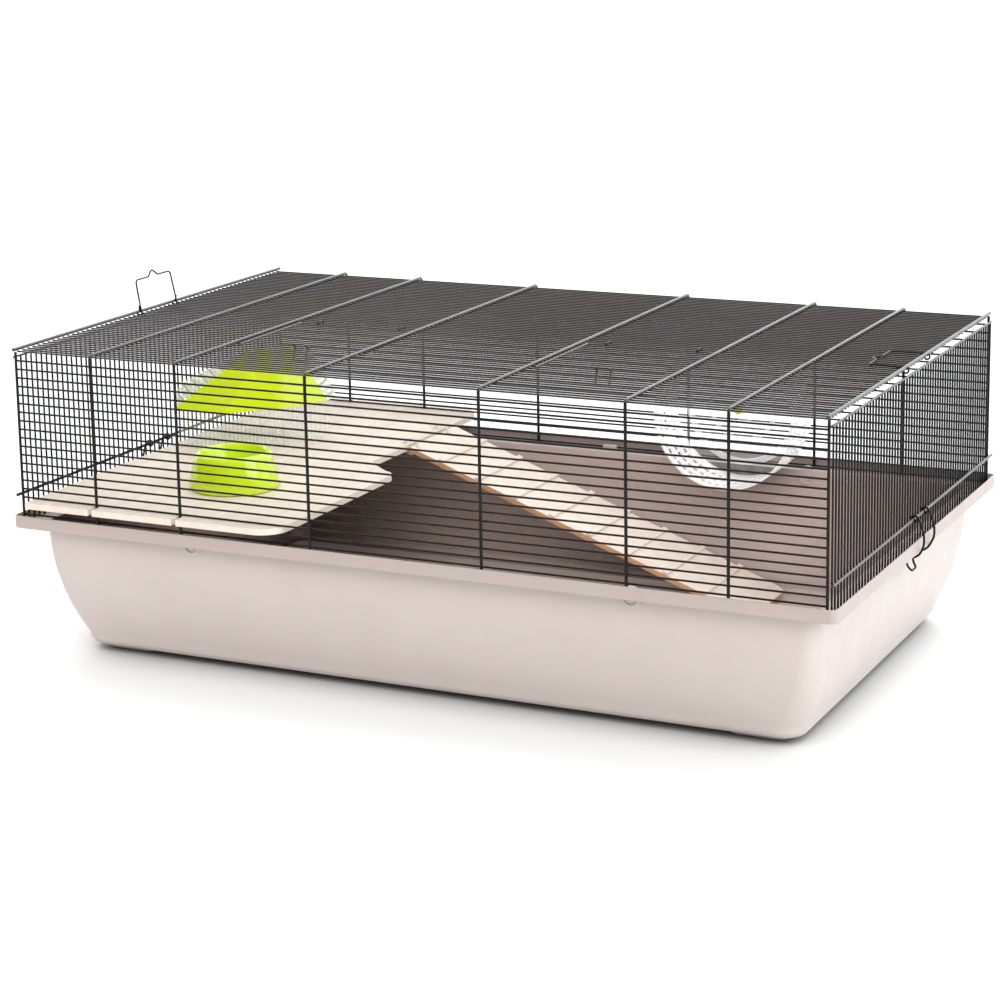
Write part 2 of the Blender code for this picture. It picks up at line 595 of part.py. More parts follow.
# ---- running wheel -------------------------------------------------------------------------------
def build_wheel():
    """A drum closed at the back, with three rows of slots round its wall, and a hub."""
    radii = (WHEEL_R, WHEEL_R - WHEEL_WALL)
    count = WHEEL_SEGMENTS
    points, faces = [], []

    def place(radius, angle_step, y):
        angle = 2 * math.pi * angle_step / count
        return (WHEEL_X + radius * math.cos(angle), y, WHEEL_Z + radius * math.sin(angle))

    for radius in radii:
        for band in WHEEL_BANDS:
            for k in range(count):
                points.append(place(radius, k, WHEEL_FRONT + band))

    def at(layer, band, k):
        return (layer * len(WHEEL_BANDS) + band) * count + k % count

    def is_open(band, k):
        return band % 2 and k % 2 == 0

    for band in range(len(WHEEL_BANDS) - 1):
        for k in range(count):
            if is_open(band, k):
                for layer_pair in ((at(0, band, k), at(0, band, k + 1), at(1, band, k + 1), at(1, band, k)),
                                   (at(0, band + 1, k), at(0, band + 1, k + 1),
                                    at(1, band + 1, k + 1), at(1, band + 1, k)),
                                   (at(0, band, k), at(0, band + 1, k), at(1, band + 1, k), at(1, band, k)),
                                   (at(0, band, k + 1), at(0, band + 1, k + 1),
                                    at(1, band + 1, k + 1), at(1, band, k + 1))):
                    faces.append(layer_pair)
                continue
            for layer in (0, 1):
                faces.append((at(layer, band, k), at(layer, band, k + 1),
                              at(layer, band + 1, k + 1), at(layer, band + 1, k)))
    for k in range(count):
        faces.append((at(0, 0, k), at(0, 0, k + 1), at(1, 0, k + 1), at(1, 0, k)))
    # Back plate with the hub: rings from the inner wall to the bore and back out behind.
    bore = AXLE_R + GAP
    plate = WHEEL_BACK - WHEEL_WALL
    back_rings = [(HUB_R, plate), (HUB_END_R, plate - HUB_LENGTH), (bore, plate - HUB_LENGTH), (bore, WHEEL_BACK),
                  (WHEEL_R, WHEEL_BACK)]
    first = len(points)
    for radius, y in back_rings:
        for k in range(count):
            points.append(place(radius, k, y))
    last_band = len(WHEEL_BANDS) - 1

    def ring_at(ring, k):
        return first + ring * count + k % count

    for k in range(count):
        faces.append((at(1, last_band, k), at(1, last_band, k + 1), ring_at(0, k + 1), ring_at(0, k)))
        for ring in range(len(back_rings) - 1):
            faces.append((ring_at(ring, k), ring_at(ring, k + 1), ring_at(ring + 1, k + 1), ring_at(ring + 1, k)))
        faces.append((ring_at(len(back_rings) - 1, k), ring_at(len(back_rings) - 1, k + 1),
                      at(0, last_band, k + 1), at(0, last_band, k)))
    return mesh_from("wheel", points, faces, CLEAR, smooth=False)


build_wheel()
back_face = FACE_Y - LINE - GAP
bracket = cylinder("wheel_bracket", (WHEEL_X, back_face, WHEEL_Z), (WHEEL_X, BRACKET_FRONT, WHEEL_Z),
                   BRACKET_R, 24, CLEAR)
join(bracket, cylinder("axle", (WHEEL_X, BRACKET_FRONT + 0.001, WHEEL_Z), (WHEEL_X, AXLE_FRONT, WHEEL_Z),
                       AXLE_R, 24, CLEAR))
cylinder("wheel_cap", (WHEEL_X, AXLE_FRONT - GAP, WHEEL_Z), (WHEEL_X, CAP_FRONT, WHEEL_Z), CAP_R, 24, LIME,
         end_radius=CAP_END_R)


# ---- food bowl -----------------------------------------------------------------------------------
def circle_ring(radius, z, count=32, middle=(0.0, 0.0)):
    return [(middle[0] + radius * math.cos(2 * math.pi * k / count),
             middle[1] + radius * math.sin(2 * math.pi * k / count), z) for k in range(count)]


bowl_low = BOARD_TOP + GAP
loft("food_bowl", [circle_ring(r, bowl_low + z, 32, (BOWL_X, BOWL_Y)) for r, z in BOWL_SECTION], LIME)


# ---- house ---------------------------------------------------------------------------------------
def house_ring(inset, z, upper=False):
    """The corners of the roof, drawn in towards the middle. upper takes the top corners, lowered by z."""
    made = []
    for eave, top in HOUSE_CORNERS:
        x, y = (top if upper else eave)[:2]
        dx, dy = x - HOUSE_MIDDLE[0], y - HOUSE_MIDDLE[1]
        keep = max(0.3, 1 - inset / math.hypot(dx, dy))
        height = top[2] - z if upper else z
        made.append((HOUSE_MIDDLE[0] + dx * keep, HOUSE_MIDDLE[1] + dy * keep, height))
    return made


house_low = BOARD_TOP + GAP
walls_top = HOUSE_EAVE_Z - GAP
walls = loft("house_walls", [
    house_ring(HOUSE_INSET, house_low), house_ring(HOUSE_INSET, walls_top),
    house_ring(HOUSE_INSET + HOUSE_WALL, walls_top), house_ring(HOUSE_INSET + HOUSE_WALL, house_low + HOUSE_WALL),
], CLEAR, smooth=False)
out = Vector((math.cos(DOOR_AXIS), math.sin(DOOR_AXIS), 0))
across = Vector((-out.y, out.x, 0))
sill, crown = house_low + DOOR_SILL, walls_top - DOOR_HEAD
profile = [(DOOR_HALF, sill)]
profile += [(DOOR_HALF * math.cos(math.radians(a)),
             crown - DOOR_ARCH * (1 - math.sin(math.radians(a)))) for a in range(0, 181, 20)]
profile.append((-DOOR_HALF, sill))
count = len(profile)
points = []
for depth in DOOR_DEPTH:
    for u, z in profile:
        place = Vector((*DOOR_WAY, 0)) + across * u + out * depth
        points.append((place.x, place.y, z))
faces = [tuple(range(count)), tuple(range(count, 2 * count))]
for k in range(count):
    n = (k + 1) % count
    faces.append((k, n, count + n, count + k))
cut(walls, mesh_from("doorway", points, faces, CLEAR))
loft("house_roof", [
    house_ring(0.0, 0.0, True), house_ring(0.0, HOUSE_EAVE_Z),
    house_ring(LID_SIDE, HOUSE_EAVE_Z), house_ring(LID_SIDE, LID_WALL, True),
], LIME, smooth=False, caps=HOUSE_CAPS)
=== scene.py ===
"""Looks of the hamster cage: moulded tub, round coated wires, wood, clear and lime plastic, camera and light.
Metres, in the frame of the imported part: +Z up, origin at the bottom centre, the front faces -Y."""
import json
import math

import bpy
import bmesh
from mathutils import Matrix, Vector

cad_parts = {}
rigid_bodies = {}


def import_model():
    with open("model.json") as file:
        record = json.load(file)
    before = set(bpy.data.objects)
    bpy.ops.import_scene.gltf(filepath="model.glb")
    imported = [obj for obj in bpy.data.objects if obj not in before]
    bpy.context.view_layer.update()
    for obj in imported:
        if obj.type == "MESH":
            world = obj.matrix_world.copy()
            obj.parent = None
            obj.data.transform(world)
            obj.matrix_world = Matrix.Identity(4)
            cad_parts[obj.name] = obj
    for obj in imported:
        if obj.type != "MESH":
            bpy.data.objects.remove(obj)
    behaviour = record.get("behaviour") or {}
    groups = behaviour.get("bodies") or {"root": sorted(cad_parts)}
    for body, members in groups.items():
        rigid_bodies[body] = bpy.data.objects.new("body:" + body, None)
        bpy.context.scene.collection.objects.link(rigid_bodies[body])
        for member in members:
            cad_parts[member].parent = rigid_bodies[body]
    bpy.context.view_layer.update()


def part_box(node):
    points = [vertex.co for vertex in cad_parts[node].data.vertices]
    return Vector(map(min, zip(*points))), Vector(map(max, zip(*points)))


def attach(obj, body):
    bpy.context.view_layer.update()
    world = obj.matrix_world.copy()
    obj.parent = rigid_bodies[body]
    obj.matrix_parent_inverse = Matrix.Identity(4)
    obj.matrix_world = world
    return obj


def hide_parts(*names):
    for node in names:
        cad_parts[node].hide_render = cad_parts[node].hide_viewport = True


for old in list(bpy.data.objects):
    bpy.data.objects.remove(old, do_unlink=True)

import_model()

# ---- places taken from the frame -----------------------------------------------------------------
TUB_LOW, TUB_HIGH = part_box("tub")
FRONT_LOW, FRONT_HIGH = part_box("front_grid")
ROOF_LOW, ROOF_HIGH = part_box("roof_front")
END_LOW, END_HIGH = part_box("right_end_grid")
_, STAY_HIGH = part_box("stay_1")
LOW_STAY_LOW, LOW_STAY_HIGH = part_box("right_low_stay")
BOARD_BOX_LOW, BOARD_BOX_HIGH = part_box("platform")
WHEEL_LOW, WHEEL_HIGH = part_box("wheel")
BOWL_LOW, BOWL_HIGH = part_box("food_bowl")
HOUSE_LOW, HOUSE_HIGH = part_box("house_walls")
LID_LOW, LID_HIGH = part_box("house_roof")

RIM = TUB_HIGH.z
ROOF = (ROOF_LOW.z + ROOF_HIGH.z) / 2
FACE_Y = (FRONT_LOW.y + FRONT_HIGH.y) / -2
FRAME_X = FRONT_HIGH.x
BAR = 0.0030
END_WIRE_X = FRAME_X - BAR / 2
END_X = (END_LOW.x + END_HIGH.x) / 2
END_TOP = END_HIGH.z
LEDGE = RIM - 0.0090

# ---- wires ---------------------------------------------------------------------------------------
LINE_HALF = (FRONT_HIGH.y - FRONT_LOW.y) / 2
LINE_R = 0.0010
ROOF_R = 0.00090
STAY_R = 0.0015
POST_R = STAY_R * 0.93
EDGE_R = 0.0017
EDGE_STUB = 0.0035
END_EDGE_R = 0.0011
END_EDGE_DROP = 0.0005
ROWS = 20
COLUMNS = 60
STAY_X = [sum(p.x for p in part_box(f"stay_{n}")) / 2 for n in range(1, 7)]
STAY_BEND = 0.0050
DOOR_FIRST = 13
DOOR_LAST = 27
HANDLE_R = 0.0009
CLIP_R = 0.0011
LATCH_R = 0.0009
LATCH_HALF = 0.0070
LATCH_SIDE = ((-0.0036, 0.0046), (-0.0016, 0.0036), (0.0, 0.0026), (0.0019, 0.0018), (0.0027, 0.0),
              (0.0019, -0.0018), (0.0005, -0.0034), (-0.0006, -0.0070), (-0.0016, -0.0106),
              (-0.0082, -0.0118))                                     # (y, z) from the door's first wire
DOOR_SIDE_R = 0.0013
DOOR_RING_R = 0.0008

ROW_0 = FRONT_LOW.z + LINE_HALF
ROW_PITCH = (FRONT_HIGH.z - FRONT_LOW.z - 2 * LINE_HALF) / (ROWS - 1)
COLUMN_0 = END_LOW.y + LINE_HALF
COLUMN_PITCH = (END_HIGH.y - END_LOW.y - 2 * LINE_HALF) / (COLUMNS - 1)
ROW_Z = [ROW_0 + ROW_PITCH * k for k in range(ROWS)]
COLUMN_Y = [COLUMN_0 + COLUMN_PITCH * k for k in range(COLUMNS)]
STAY_Y = STAY_HIGH.y - STAY_R
STAY_Z = STAY_HIGH.z - STAY_R
LOW_STAY_MID = (LOW_STAY_LOW + LOW_STAY_HIGH) / 2
WIRE_FOOT = LEDGE + 0.0003
DOOR_LINES = [(y, ROOF) for y in COLUMN_Y[DOOR_FIRST:DOOR_LAST + 1]]


# ---- material helpers ----------------------------------------------------------------------------
CLEAR_ROUGH = 0.08
CLEAR_IOR = 1.5


def new_look(name, rough, colour):
    """A node material whose Principled shader holds the uniform values."""
    made = bpy.data.materials.new(name)
    made.use_nodes = True
    shader = made.node_tree.nodes["Principled BSDF"]
    shader.inputs["Base Color"].default_value = (*colour, 1)
    shader.inputs["Roughness"].default_value = rough
    return made, made.node_tree, shader


def noise(tree, scale, detail=4.0, stretch=(1, 1, 1), distortion=0.0):
    """Noise in object coordinates, with a stretch along the axes."""
    place = tree.nodes.new("ShaderNodeTexCoord")
    mapping = tree.nodes.new("ShaderNodeMapping")
    mapping.inputs["Scale"].default_value = stretch
    made = tree.nodes.new("ShaderNodeTexNoise")
    made.inputs["Scale"].default_value = scale
    made.inputs["Detail"].default_value = detail
    made.inputs["Distortion"].default_value = distortion
    tree.links.new(place.outputs["Object"], mapping.inputs["Vector"])
    tree.links.new(mapping.outputs["Vector"], made.inputs["Vector"])
    return made.outputs["Fac"]


def spread(tree, value, low, high, start=0.3, end=0.7):
    """The value's range start to end, mapped to low to high."""
    made = tree.nodes.new("ShaderNodeMapRange")
    made.inputs["From Min"].default_value = start
    made.inputs["From Max"].default_value = end
    made.inputs["To Min"].default_value = low
    made.inputs["To Max"].default_value = high
    tree.links.new(value, made.inputs["Value"])
    return made.outputs["Result"]


def mix_colour(tree, factor, first, second):
    """Blend of two colours or colour sockets."""
    made = tree.nodes.new("ShaderNodeMix")
    made.data_type = "RGBA"
    for socket, value in (("A", first), ("B", second)):
        target = next(s for s in made.inputs if s.name == socket and s.type == "RGBA")
        if isinstance(value, tuple):
            target.default_value = (*value, 1)
        else:
            tree.links.new(value, target)
    tree.links.new(factor, made.inputs["Factor"])
    return next(s for s in made.outputs if s.type == "RGBA")


def bump(tree, shader, height, depth):
    """Relief of this depth in metres from a 0 to 1 height."""
    made = tree.nodes.new("ShaderNodeBump")
    made.inputs["Distance"].default_value = depth
    tree.links.new(height, made.inputs["Height"])
    tree.links.new(made.outputs["Normal"], shader.inputs["Normal"])


def add_up(tree, first, second, clamp=False):
    """The sum of two value sockets."""
    made = tree.nodes.new("ShaderNodeMath")
    made.operation = "ADD"
    made.use_clamp = clamp
    tree.links.new(first, made.inputs[0])
    tree.links.new(second, made.inputs[1])
    return made.outputs["Value"]


def glow_through(shader, weight, reach=0.010):
    """Let light spread inside the plastic and out of the other face."""
    shader.inputs["Subsurface Weight"].default_value = weight
    shader.inputs["Subsurface Radius"].default_value = (1.0, 1.0, 1.0)
    shader.inputs["Subsurface Scale"].default_value = reach


def moulded(name, colour, other, rough=0.42, grain=0.00003, grain_scale=1400.0, gloss=0.5, shade=None,
            milk=0.0):
    """Injection-moulded plastic or coating: a faint mottle, a fine texture and uneven gloss. shade paints
    shade into enclosed places, darker where ambient occlusion finds surfaces near: (reach, low, high, colour
    at the darkest)."""
    made, tree, shader = new_look(name, rough, colour)
    mottle = noise(tree, 18.0, 5.0)
    figure = mix_colour(tree, spread(tree, mottle, 0.0, 1.0), colour, other)
    # Painted shade: the colour runs to the darkest colour where ambient occlusion finds surfaces near.
    if shade:
        reach, low, high, darkest = shade
        near = tree.nodes.new("ShaderNodeAmbientOcclusion")
        near.samples = 8
        near.inputs["Distance"].default_value = reach
        figure = mix_colour(tree, spread(tree, near.outputs["AO"], 0.0, 1.0, low, high), darkest, figure)
    tree.links.new(figure, shader.inputs["Base Color"])
    shader.inputs["Specular IOR Level"].default_value = gloss
    uneven = spread(tree, noise(tree, 45.0, 6.0), rough - 0.06, rough + 0.08)
    tree.links.new(uneven, shader.inputs["Roughness"])
    bump(tree, shader, noise(tree, grain_scale, 2.0), grain)
    glow_through(shader, milk)
    return made


def wood(name, pale, dark, along):
    """Sanded softwood with its grain along X or Y."""
    made, tree, shader = new_look(name, 0.62, pale)
    stretch = {"X": (1.0, 14.0, 14.0), "Y": (14.0, 1.0, 14.0)}[along]
    broad = noise(tree, 5.0, 5.0, stretch, 0.6)
    fine = noise(tree, 42.0, 6.0, stretch, 0.2)
    figure = mix_colour(tree, spread(tree, broad, 0.0, 1.0, 0.35, 0.75), pale, dark)
    streak = tuple(0.86 * c for c in dark)
    tree.links.new(mix_colour(tree, spread(tree, fine, 0.0, 0.45, 0.5, 0.8), figure, streak),
                   shader.inputs["Base Color"])
    tree.links.new(spread(tree, fine, 0.55, 0.75), shader.inputs["Roughness"])
    bump(tree, shader, fine, 0.00012)
    return made


def clear(name, tint, low, high, ribs=None, rib_scale=1.0, rib_alpha=0.0, rib_dark=1.0, milk=0.0, painted_glow=0.0):
    """Clear moulded plastic, more opaque where the wall is seen edge on, with optional fine ribs across one
    direction. milk lets light through the wall. glow is painted light: an emission in the tint that stands in
    for the light the wall carries from its far side."""
    made, tree, shader = new_look(name, CLEAR_ROUGH, tint)
    facing = tree.nodes.new("ShaderNodeLayerWeight")
    facing.inputs["Blend"].default_value = 0.35
    extra = spread(tree, noise(tree, 60.0, 4.0), -0.03, 0.04)
    if ribs:
        place = tree.nodes.new("ShaderNodeTexCoord")
        along = tree.nodes.new("ShaderNodeVectorMath")
        along.operation = "DOT_PRODUCT"
        along.inputs[1].default_value = ribs
        tree.links.new(place.outputs["Object"], along.inputs[0])
        wave = tree.nodes.new("ShaderNodeTexWave")
        wave.inputs["Scale"].default_value = rib_scale
        tree.links.new(along.outputs["Value"], wave.inputs["Vector"])
        extra = add_up(tree, spread(tree, wave.outputs["Fac"], 0.0, rib_alpha, 0.6, 1.0), extra)
        share, dim = spread(tree, wave.outputs["Fac"], 0.0, 1.0, 0.6, 1.0), rib_dark
    else:
        share, dim = spread(tree, noise(tree, 30.0, 3.0), 0.0, 1.0), 0.97
    tree.links.new(mix_colour(tree, share, tint, tuple(dim * c for c in tint)), shader.inputs["Base Color"])
    wall = spread(tree, facing.outputs["Facing"], low, high, 0.0, 1.0)
    tree.links.new(add_up(tree, wall, extra, True), shader.inputs["Alpha"])
    bump(tree, shader, noise(tree, 40.0, 2.0), 0.00002)
    shader.inputs["IOR"].default_value = CLEAR_IOR
    glow_through(shader, milk)
    # Painted light: the plastic glows by emission in its tint, though it is no lamp.
    shader.inputs["Emission Color"].default_value = (*tint, 1)
    shader.inputs["Emission Strength"].default_value = painted_glow
    return made


BEIGE = moulded("beige_plastic", (0.630, 0.548, 0.508), (0.605, 0.525, 0.485))
# The rim: a darker copy of the same beige, painted shade, as the tub is one moulding of one colour.
BEIGE_RIM_PAINTED_SHADE = moulded("beige_plastic_rim_painted_shade", (0.505, 0.415, 0.380), (0.485, 0.397, 0.364))
# The inside: a brighter copy of the same beige (painted light), with painted shade darkening its enclosed
# places.
BEIGE_INSIDE_PAINTED_LIGHT_SHADE = moulded("beige_plastic_inside", (0.730, 0.592, 0.545), (0.705, 0.570, 0.525),
                       shade=(0.20, 0.32, 0.58, (0.08, 0.060, 0.055)))
BLACK = moulded("black_coated_wire", (0.006, 0.005, 0.005), (0.011, 0.009, 0.009), 0.34, 0.00001, 2500.0,
                0.22)
# The roof wires: a lighter, glossier copy of the same black coating, painted light where the roof faces the
# light.
ROOF_BLACK_PAINTED_LIGHT = moulded("black_coated_roof_wire", (0.016, 0.009, 0.011), (0.024, 0.015, 0.017), 0.30, 0.00001,
                     2500.0, 0.72)
# A slightly lighter, glossier copy of the same black coating where the wires catch the light: painted
# highlight.
STAY_BLACK_PAINTED_HIGHLIGHT = moulded("black_coated_stay", (0.008, 0.007, 0.007), (0.013, 0.011, 0.012), 0.26, 0.00001,
                     2500.0, 0.8)
BOARD_WOOD = wood("platform_wood", (0.86, 0.755, 0.665), (0.79, 0.66, 0.55), "Y")
RAMP_WOOD = wood("ramp_wood", (0.89, 0.78, 0.69), (0.83, 0.68, 0.57), "X")
EDGE_WOOD = wood("ramp_edge_wood", (0.72, 0.43, 0.24), (0.60, 0.32, 0.16), "X")
# CLEAR, CLEAR_EDGE, WHEEL_CLEAR and RIBBED glow with painted light by emission.
CLEAR = clear("clear_plastic", (0.94, 0.93, 0.94), 0.05, 0.40, painted_glow=0.10)
CLEAR_EDGE = clear("clear_plastic_edge", (0.98, 0.98, 0.99), 0.50, 0.90, milk=0.6, painted_glow=0.20)
WHEEL_CLEAR = clear("clear_wheel_wall", (0.99, 0.98, 0.99), 0.36, 0.95, milk=0.8, painted_glow=0.22)
LIME = moulded("lime_plastic", (0.70, 0.84, 0.004), (0.66, 0.81, 0.003), 0.22, 0.00002, 700.0)
BOWL_LIME = moulded("lime_bowl_plastic", (0.66, 0.83, 0.010), (0.61, 0.80, 0.008), 0.13, 0.00002, 700.0, 0.9,
                    milk=0.35)
RIBBED = clear("pale_ribbed_plastic", (0.96, 1.00, 0.80), 0.24, 0.60, ribs=(0.50, 0.0, 0.87), rib_scale=38.0,
               rib_alpha=0.50, rib_dark=0.25, milk=0.5, painted_glow=0.15)
HOUSE_CLEAR = clear("clear_ribbed_plastic", (0.95, 0.97, 0.96), 0.00, 0.16, ribs=(0.89, 0.46, 0.0),
                    rib_scale=60.0, rib_alpha=0.10, rib_dark=0.95)
WHITE = moulded("white_plastic", (0.86, 0.86, 0.86), (0.82, 0.82, 0.82), 0.35)


# ---- mesh helpers --------------------------------------------------------------------------------
def face_outwards(mesh):
    """Turn every face to the outside."""
    work = bmesh.new()
    work.from_mesh(mesh)
    bmesh.ops.recalc_face_normals(work, faces=work.faces)
    work.to_mesh(mesh)
    work.free()


def add(name, mesh, looks, body, nodes, sharp=38.0):
    """Put a finished mesh in the scene in place of the CAD nodes, riding on their body."""
    for look in looks if isinstance(looks, list) else [looks]:
        mesh.materials.append(look)
    face_outwards(mesh)
    for face in mesh.polygons:
        face.use_smooth = True
    mesh.set_sharp_from_angle(angle=math.radians(sharp))
    made = bpy.data.objects.new(name, mesh)
    bpy.context.scene.collection.objects.link(made)
    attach(made, body)
    if nodes:
        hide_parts(*nodes)
    return made


def mesh_of(name, points, faces, face_looks=None):
    """A mesh from points and faces, with a material number for each face."""
    mesh = bpy.data.meshes.new(name)
    mesh.from_pydata([tuple(p) for p in points], [], faces)
    if face_looks:
        for face, look in zip(mesh.polygons, face_looks):
            face.material_index = look
    return mesh


def wires(name, paths, radius, sides=8, cyclic=False):
    """One mesh of round wires along polylines, or closed loops."""
    points, faces = [], []
    for path in paths:
        path = [Vector(p) for p in path]
        count = len(path)
        along = []
        for i in range(count):
            if cyclic:
                along.append((path[(i + 1) % count] - path[i - 1]).normalized())
            else:
                along.append((path[min(i + 1, count - 1)] - path[max(i - 1, 0)]).normalized())
        normals = [along[0].orthogonal().normalized()]
        for i in range(1, count):
            normals.append(along[i - 1].rotation_difference(along[i]) @ normals[-1])
        twist = 0.0
        if cyclic:
            back = along[-1].rotation_difference(along[0]) @ normals[-1]
            twist = math.atan2(back.cross(normals[0]).dot(along[0]), back.dot(normals[0])) / count
        first = len(points)
        for i in range(count):
            across = Matrix.Rotation(twist * i, 3, along[i]) @ normals[i]
            side = along[i].cross(across)
            for k in range(sides):
                angle = 2 * math.pi * k / sides
                points.append(path[i] + radius * (math.cos(angle) * across + math.sin(angle) * side))
        for i in range(count if cyclic else count - 1):
            j = (i + 1) % count
            for k in range(sides):
                n = (k + 1) % sides
                faces.append((first + i * sides + k, first + i * sides + n,
                              first + j * sides + n, first + j * sides + k))
        if not cyclic:
            faces.append(tuple(range(first + sides - 1, first - 1, -1)))
            last = first + (count - 1) * sides
            faces.append(tuple(range(last, last + sides)))
    return mesh_of(name, points, faces)


def paint(mesh, look):
    """Give every face the material of this number."""
    for face in mesh.polygons:
        face.material_index = look


def merge(name, *meshes):
    """One mesh from several; the given ones are used up."""
    work = bmesh.new()
    for mesh in meshes:
        work.from_mesh(mesh)
        bpy.data.meshes.remove(mesh)
    made = bpy.data.meshes.new(name)
    work.to_mesh(made)
    work.free()
    return made


def rounded(path, radius, steps=5, cyclic=False):
    """The path with an arc of this radius in place of each corner."""
    path = [Vector(p) for p in path]
    count = len(path)
    made = []
    for i, corner in enumerate(path):
        if not cyclic and i in (0, count - 1):
            made.append(corner)
            continue
        before = path[i - 1] - corner
        after = path[(i + 1) % count] - corner
        turn = before.angle(after)
        cut = min(radius / math.tan(turn / 2), 0.45 * before.length, 0.45 * after.length)
        start = corner + before.normalized() * cut
        end = corner + after.normalized() * cut
        for step in range(steps + 1):
            t = step / steps
            made.append(start.lerp(corner, t).lerp(corner.lerp(end, t), t))
    return made


def ring_of(half_x, half_y, radius, z, middle=(0.0, 0.0), steps=10):
    """A rounded rectangle as points, anticlockwise seen from above."""
    made = []
    for sx, sy, first in ((1, 1, 0), (-1, 1, 90), (-1, -1, 180), (1, -1, 270)):
        for step in range(steps + 1):
            angle = math.radians(first + 90 * step / steps)
            made.append((middle[0] + sx * (half_x - radius) + radius * math.cos(angle),
                         middle[1] + sy * (half_y - radius) + radius * math.sin(angle), z))
    return made


def circle_ring(radius, z, count=64, middle=(0.0, 0.0)):
    """A circle as points, anticlockwise seen from above."""
    return [(middle[0] + radius * math.cos(2 * math.pi * k / count),
             middle[1] + radius * math.sin(2 * math.pi * k / count), z) for k in range(count)]


def loft(name, rings, band_look=None):
    """Quads through rings of equal count, with flat caps. band_look gives each band's material number."""
    count = len(rings[0])
    points = [p for ring in rings for p in ring]
    faces = [tuple(range(count - 1, -1, -1)), tuple(range((len(rings) - 1) * count, len(rings) * count))]
    looks = [0, 0]
    for r in range(len(rings) - 1):
        for k in range(count):
            n = (k + 1) % count
            faces.append((r * count + k, r * count + n, (r + 1) * count + n, (r + 1) * count + k))
            looks.append(band_look(r) if band_look else 0)
    return mesh_of(name, points, faces, looks)


def bevel(made, width):
    """Round the sharp edges of a piece."""
    modifier = made.modifiers.new("Bevel", "BEVEL")
    modifier.width = width
    modifier.segments = 2
    modifier.limit_method = "ANGLE"
    modifier.angle_limit = math.radians(35)


def carve(made, mesh):
    """Take a hidden cutter out of a piece."""
    cutter = bpy.data.objects.new(f"{made.name}_cutter_{len(made.modifiers) + 1}", mesh)
    bpy.context.scene.collection.objects.link(cutter)
    cutter.hide_render = True
    cutter.hide_viewport = True
    modifier = made.modifiers.new("Carve", "BOOLEAN")
    modifier.operation = "DIFFERENCE"
    modifier.solver = "EXACT"
    modifier.object = cutter


def prism(name, outline, low, high, edge_look=0):
    """A plate with this outline, its edge faces in the material of that number."""
    count = len(outline)
    points = [(x, y, low) for x, y in outline] + [(x, y, high) for x, y in outline]
    faces = [tuple(range(count - 1, -1, -1)), tuple(range(count, 2 * count))]
    looks = [0, 0]
    for k in range(count):
        n = (k + 1) % count
        faces.append((k, n, count + n, count + k))
        looks.append(edge_look)
    return mesh_of(name, points, faces, looks)


def block(name, low, high):
    """A box between two corners, its upright and top edges rounded."""
    corner, chamfer = 0.0006, 0.0003
    middle = ((low[0] + high[0]) / 2, (low[1] + high[1]) / 2)
    half = (abs(high[0] - low[0]) / 2, abs(high[1] - low[1]) / 2)
    return loft(name, [ring_of(*half, corner, low[2], middle, 3),
                       ring_of(*half, corner, high[2] - chamfer, middle, 3),
                       ring_of(half[0] - chamfer, half[1] - chamfer, corner, high[2], middle, 3)])


def drum(name, middle, axis, specs, count=64):
    """A turned solid along an axis through middle; specs are (radius, place along the axis)."""
    turn = Vector(axis).to_track_quat("Z", "Y").to_matrix().to_4x4()
    made = loft(name, [circle_ring(r, z, count) for r, z in specs])
    made.transform(Matrix.Translation(middle) @ turn)
    return made


# ---- tub -----------------------------------------------------------------------------------------
SKIRT = 0.0124
LIP = 0.0016
WALL = 0.0025
WALL_TOP_INSET = 0.0145
WALL_BOTTOM_INSET = 0.0430
WALL_BOW = 2.2
WALL_START = RIM - 0.0150
TUB_BOTTOM = 0.0060
BOTTOM_FILLET = 0.0120
CORNER_TOP = 0.0140
CORNER_BOTTOM = 0.0260
RIM_CORNER = 0.0070
WALL_RINGS = 20
TAB_X = 0.2300
TAB_R = 0.0100
TAB_DEPTH = 0.0060
TAB_PROFILE = ((0.0, 0.0016), (0.0008, 0.0008), (0.0028, 0.0008), (0.0034, 0.0024),
               (0.0058, 0.0024), (0.0064, 0.0004), (0.0076, 0.0))     # (in from the edge, back from the face)
GROOVE_R = 0.0011
FOOT_PLACE = (0.3347, 0.1837)
FOOT_RINGS = ((0.0250, 0.0130, 0.0100, 0.0), (0.0275, 0.0155, 0.0115, 0.0004),
              (0.0300, 0.0180, 0.0130, 0.0014), (0.0322, 0.0202, 0.0145, 0.0030),
              (0.0340, 0.0220, 0.0155, 0.0050),
              (0.0352, 0.0232, 0.0160, 0.0080))                       # (half x, half y, corner, height)
LUG_HALF = 0.0075
LUG_Y = (0.2492, 0.2550)
LUG_Z = (LEDGE - 0.0004, LEDGE + 0.0048)


def tub_section(thickness):
    """(half x, half y, corner, z) of the bowed wall from the top down, then the bottom fillet."""
    made = []
    floor = TUB_BOTTOM + thickness
    fillet = BOTTOM_FILLET - thickness
    top = LEDGE - WALL
    for step in range(WALL_RINGS):
        z = top + (floor + fillet - top) * step / (WALL_RINGS - 1)
        t = max(0.0, (WALL_START - z) / (WALL_START - TUB_BOTTOM))
        inset = WALL_TOP_INSET + (WALL_BOTTOM_INSET - WALL_TOP_INSET) * t ** WALL_BOW + thickness
        corner = CORNER_TOP + (CORNER_BOTTOM - CORNER_TOP) * t - thickness
        made.append((END_X - inset, FACE_Y - inset, corner, z))
    half_x, half_y, corner, _ = made[-1]
    for angle in (15, 30, 45, 60, 75, 90):
        pull = fillet * (1 - math.cos(math.radians(angle)))
        made.append((half_x - pull, half_y - pull, corner - pull,
                     floor + fillet * (1 - math.sin(math.radians(angle)))))
    return made


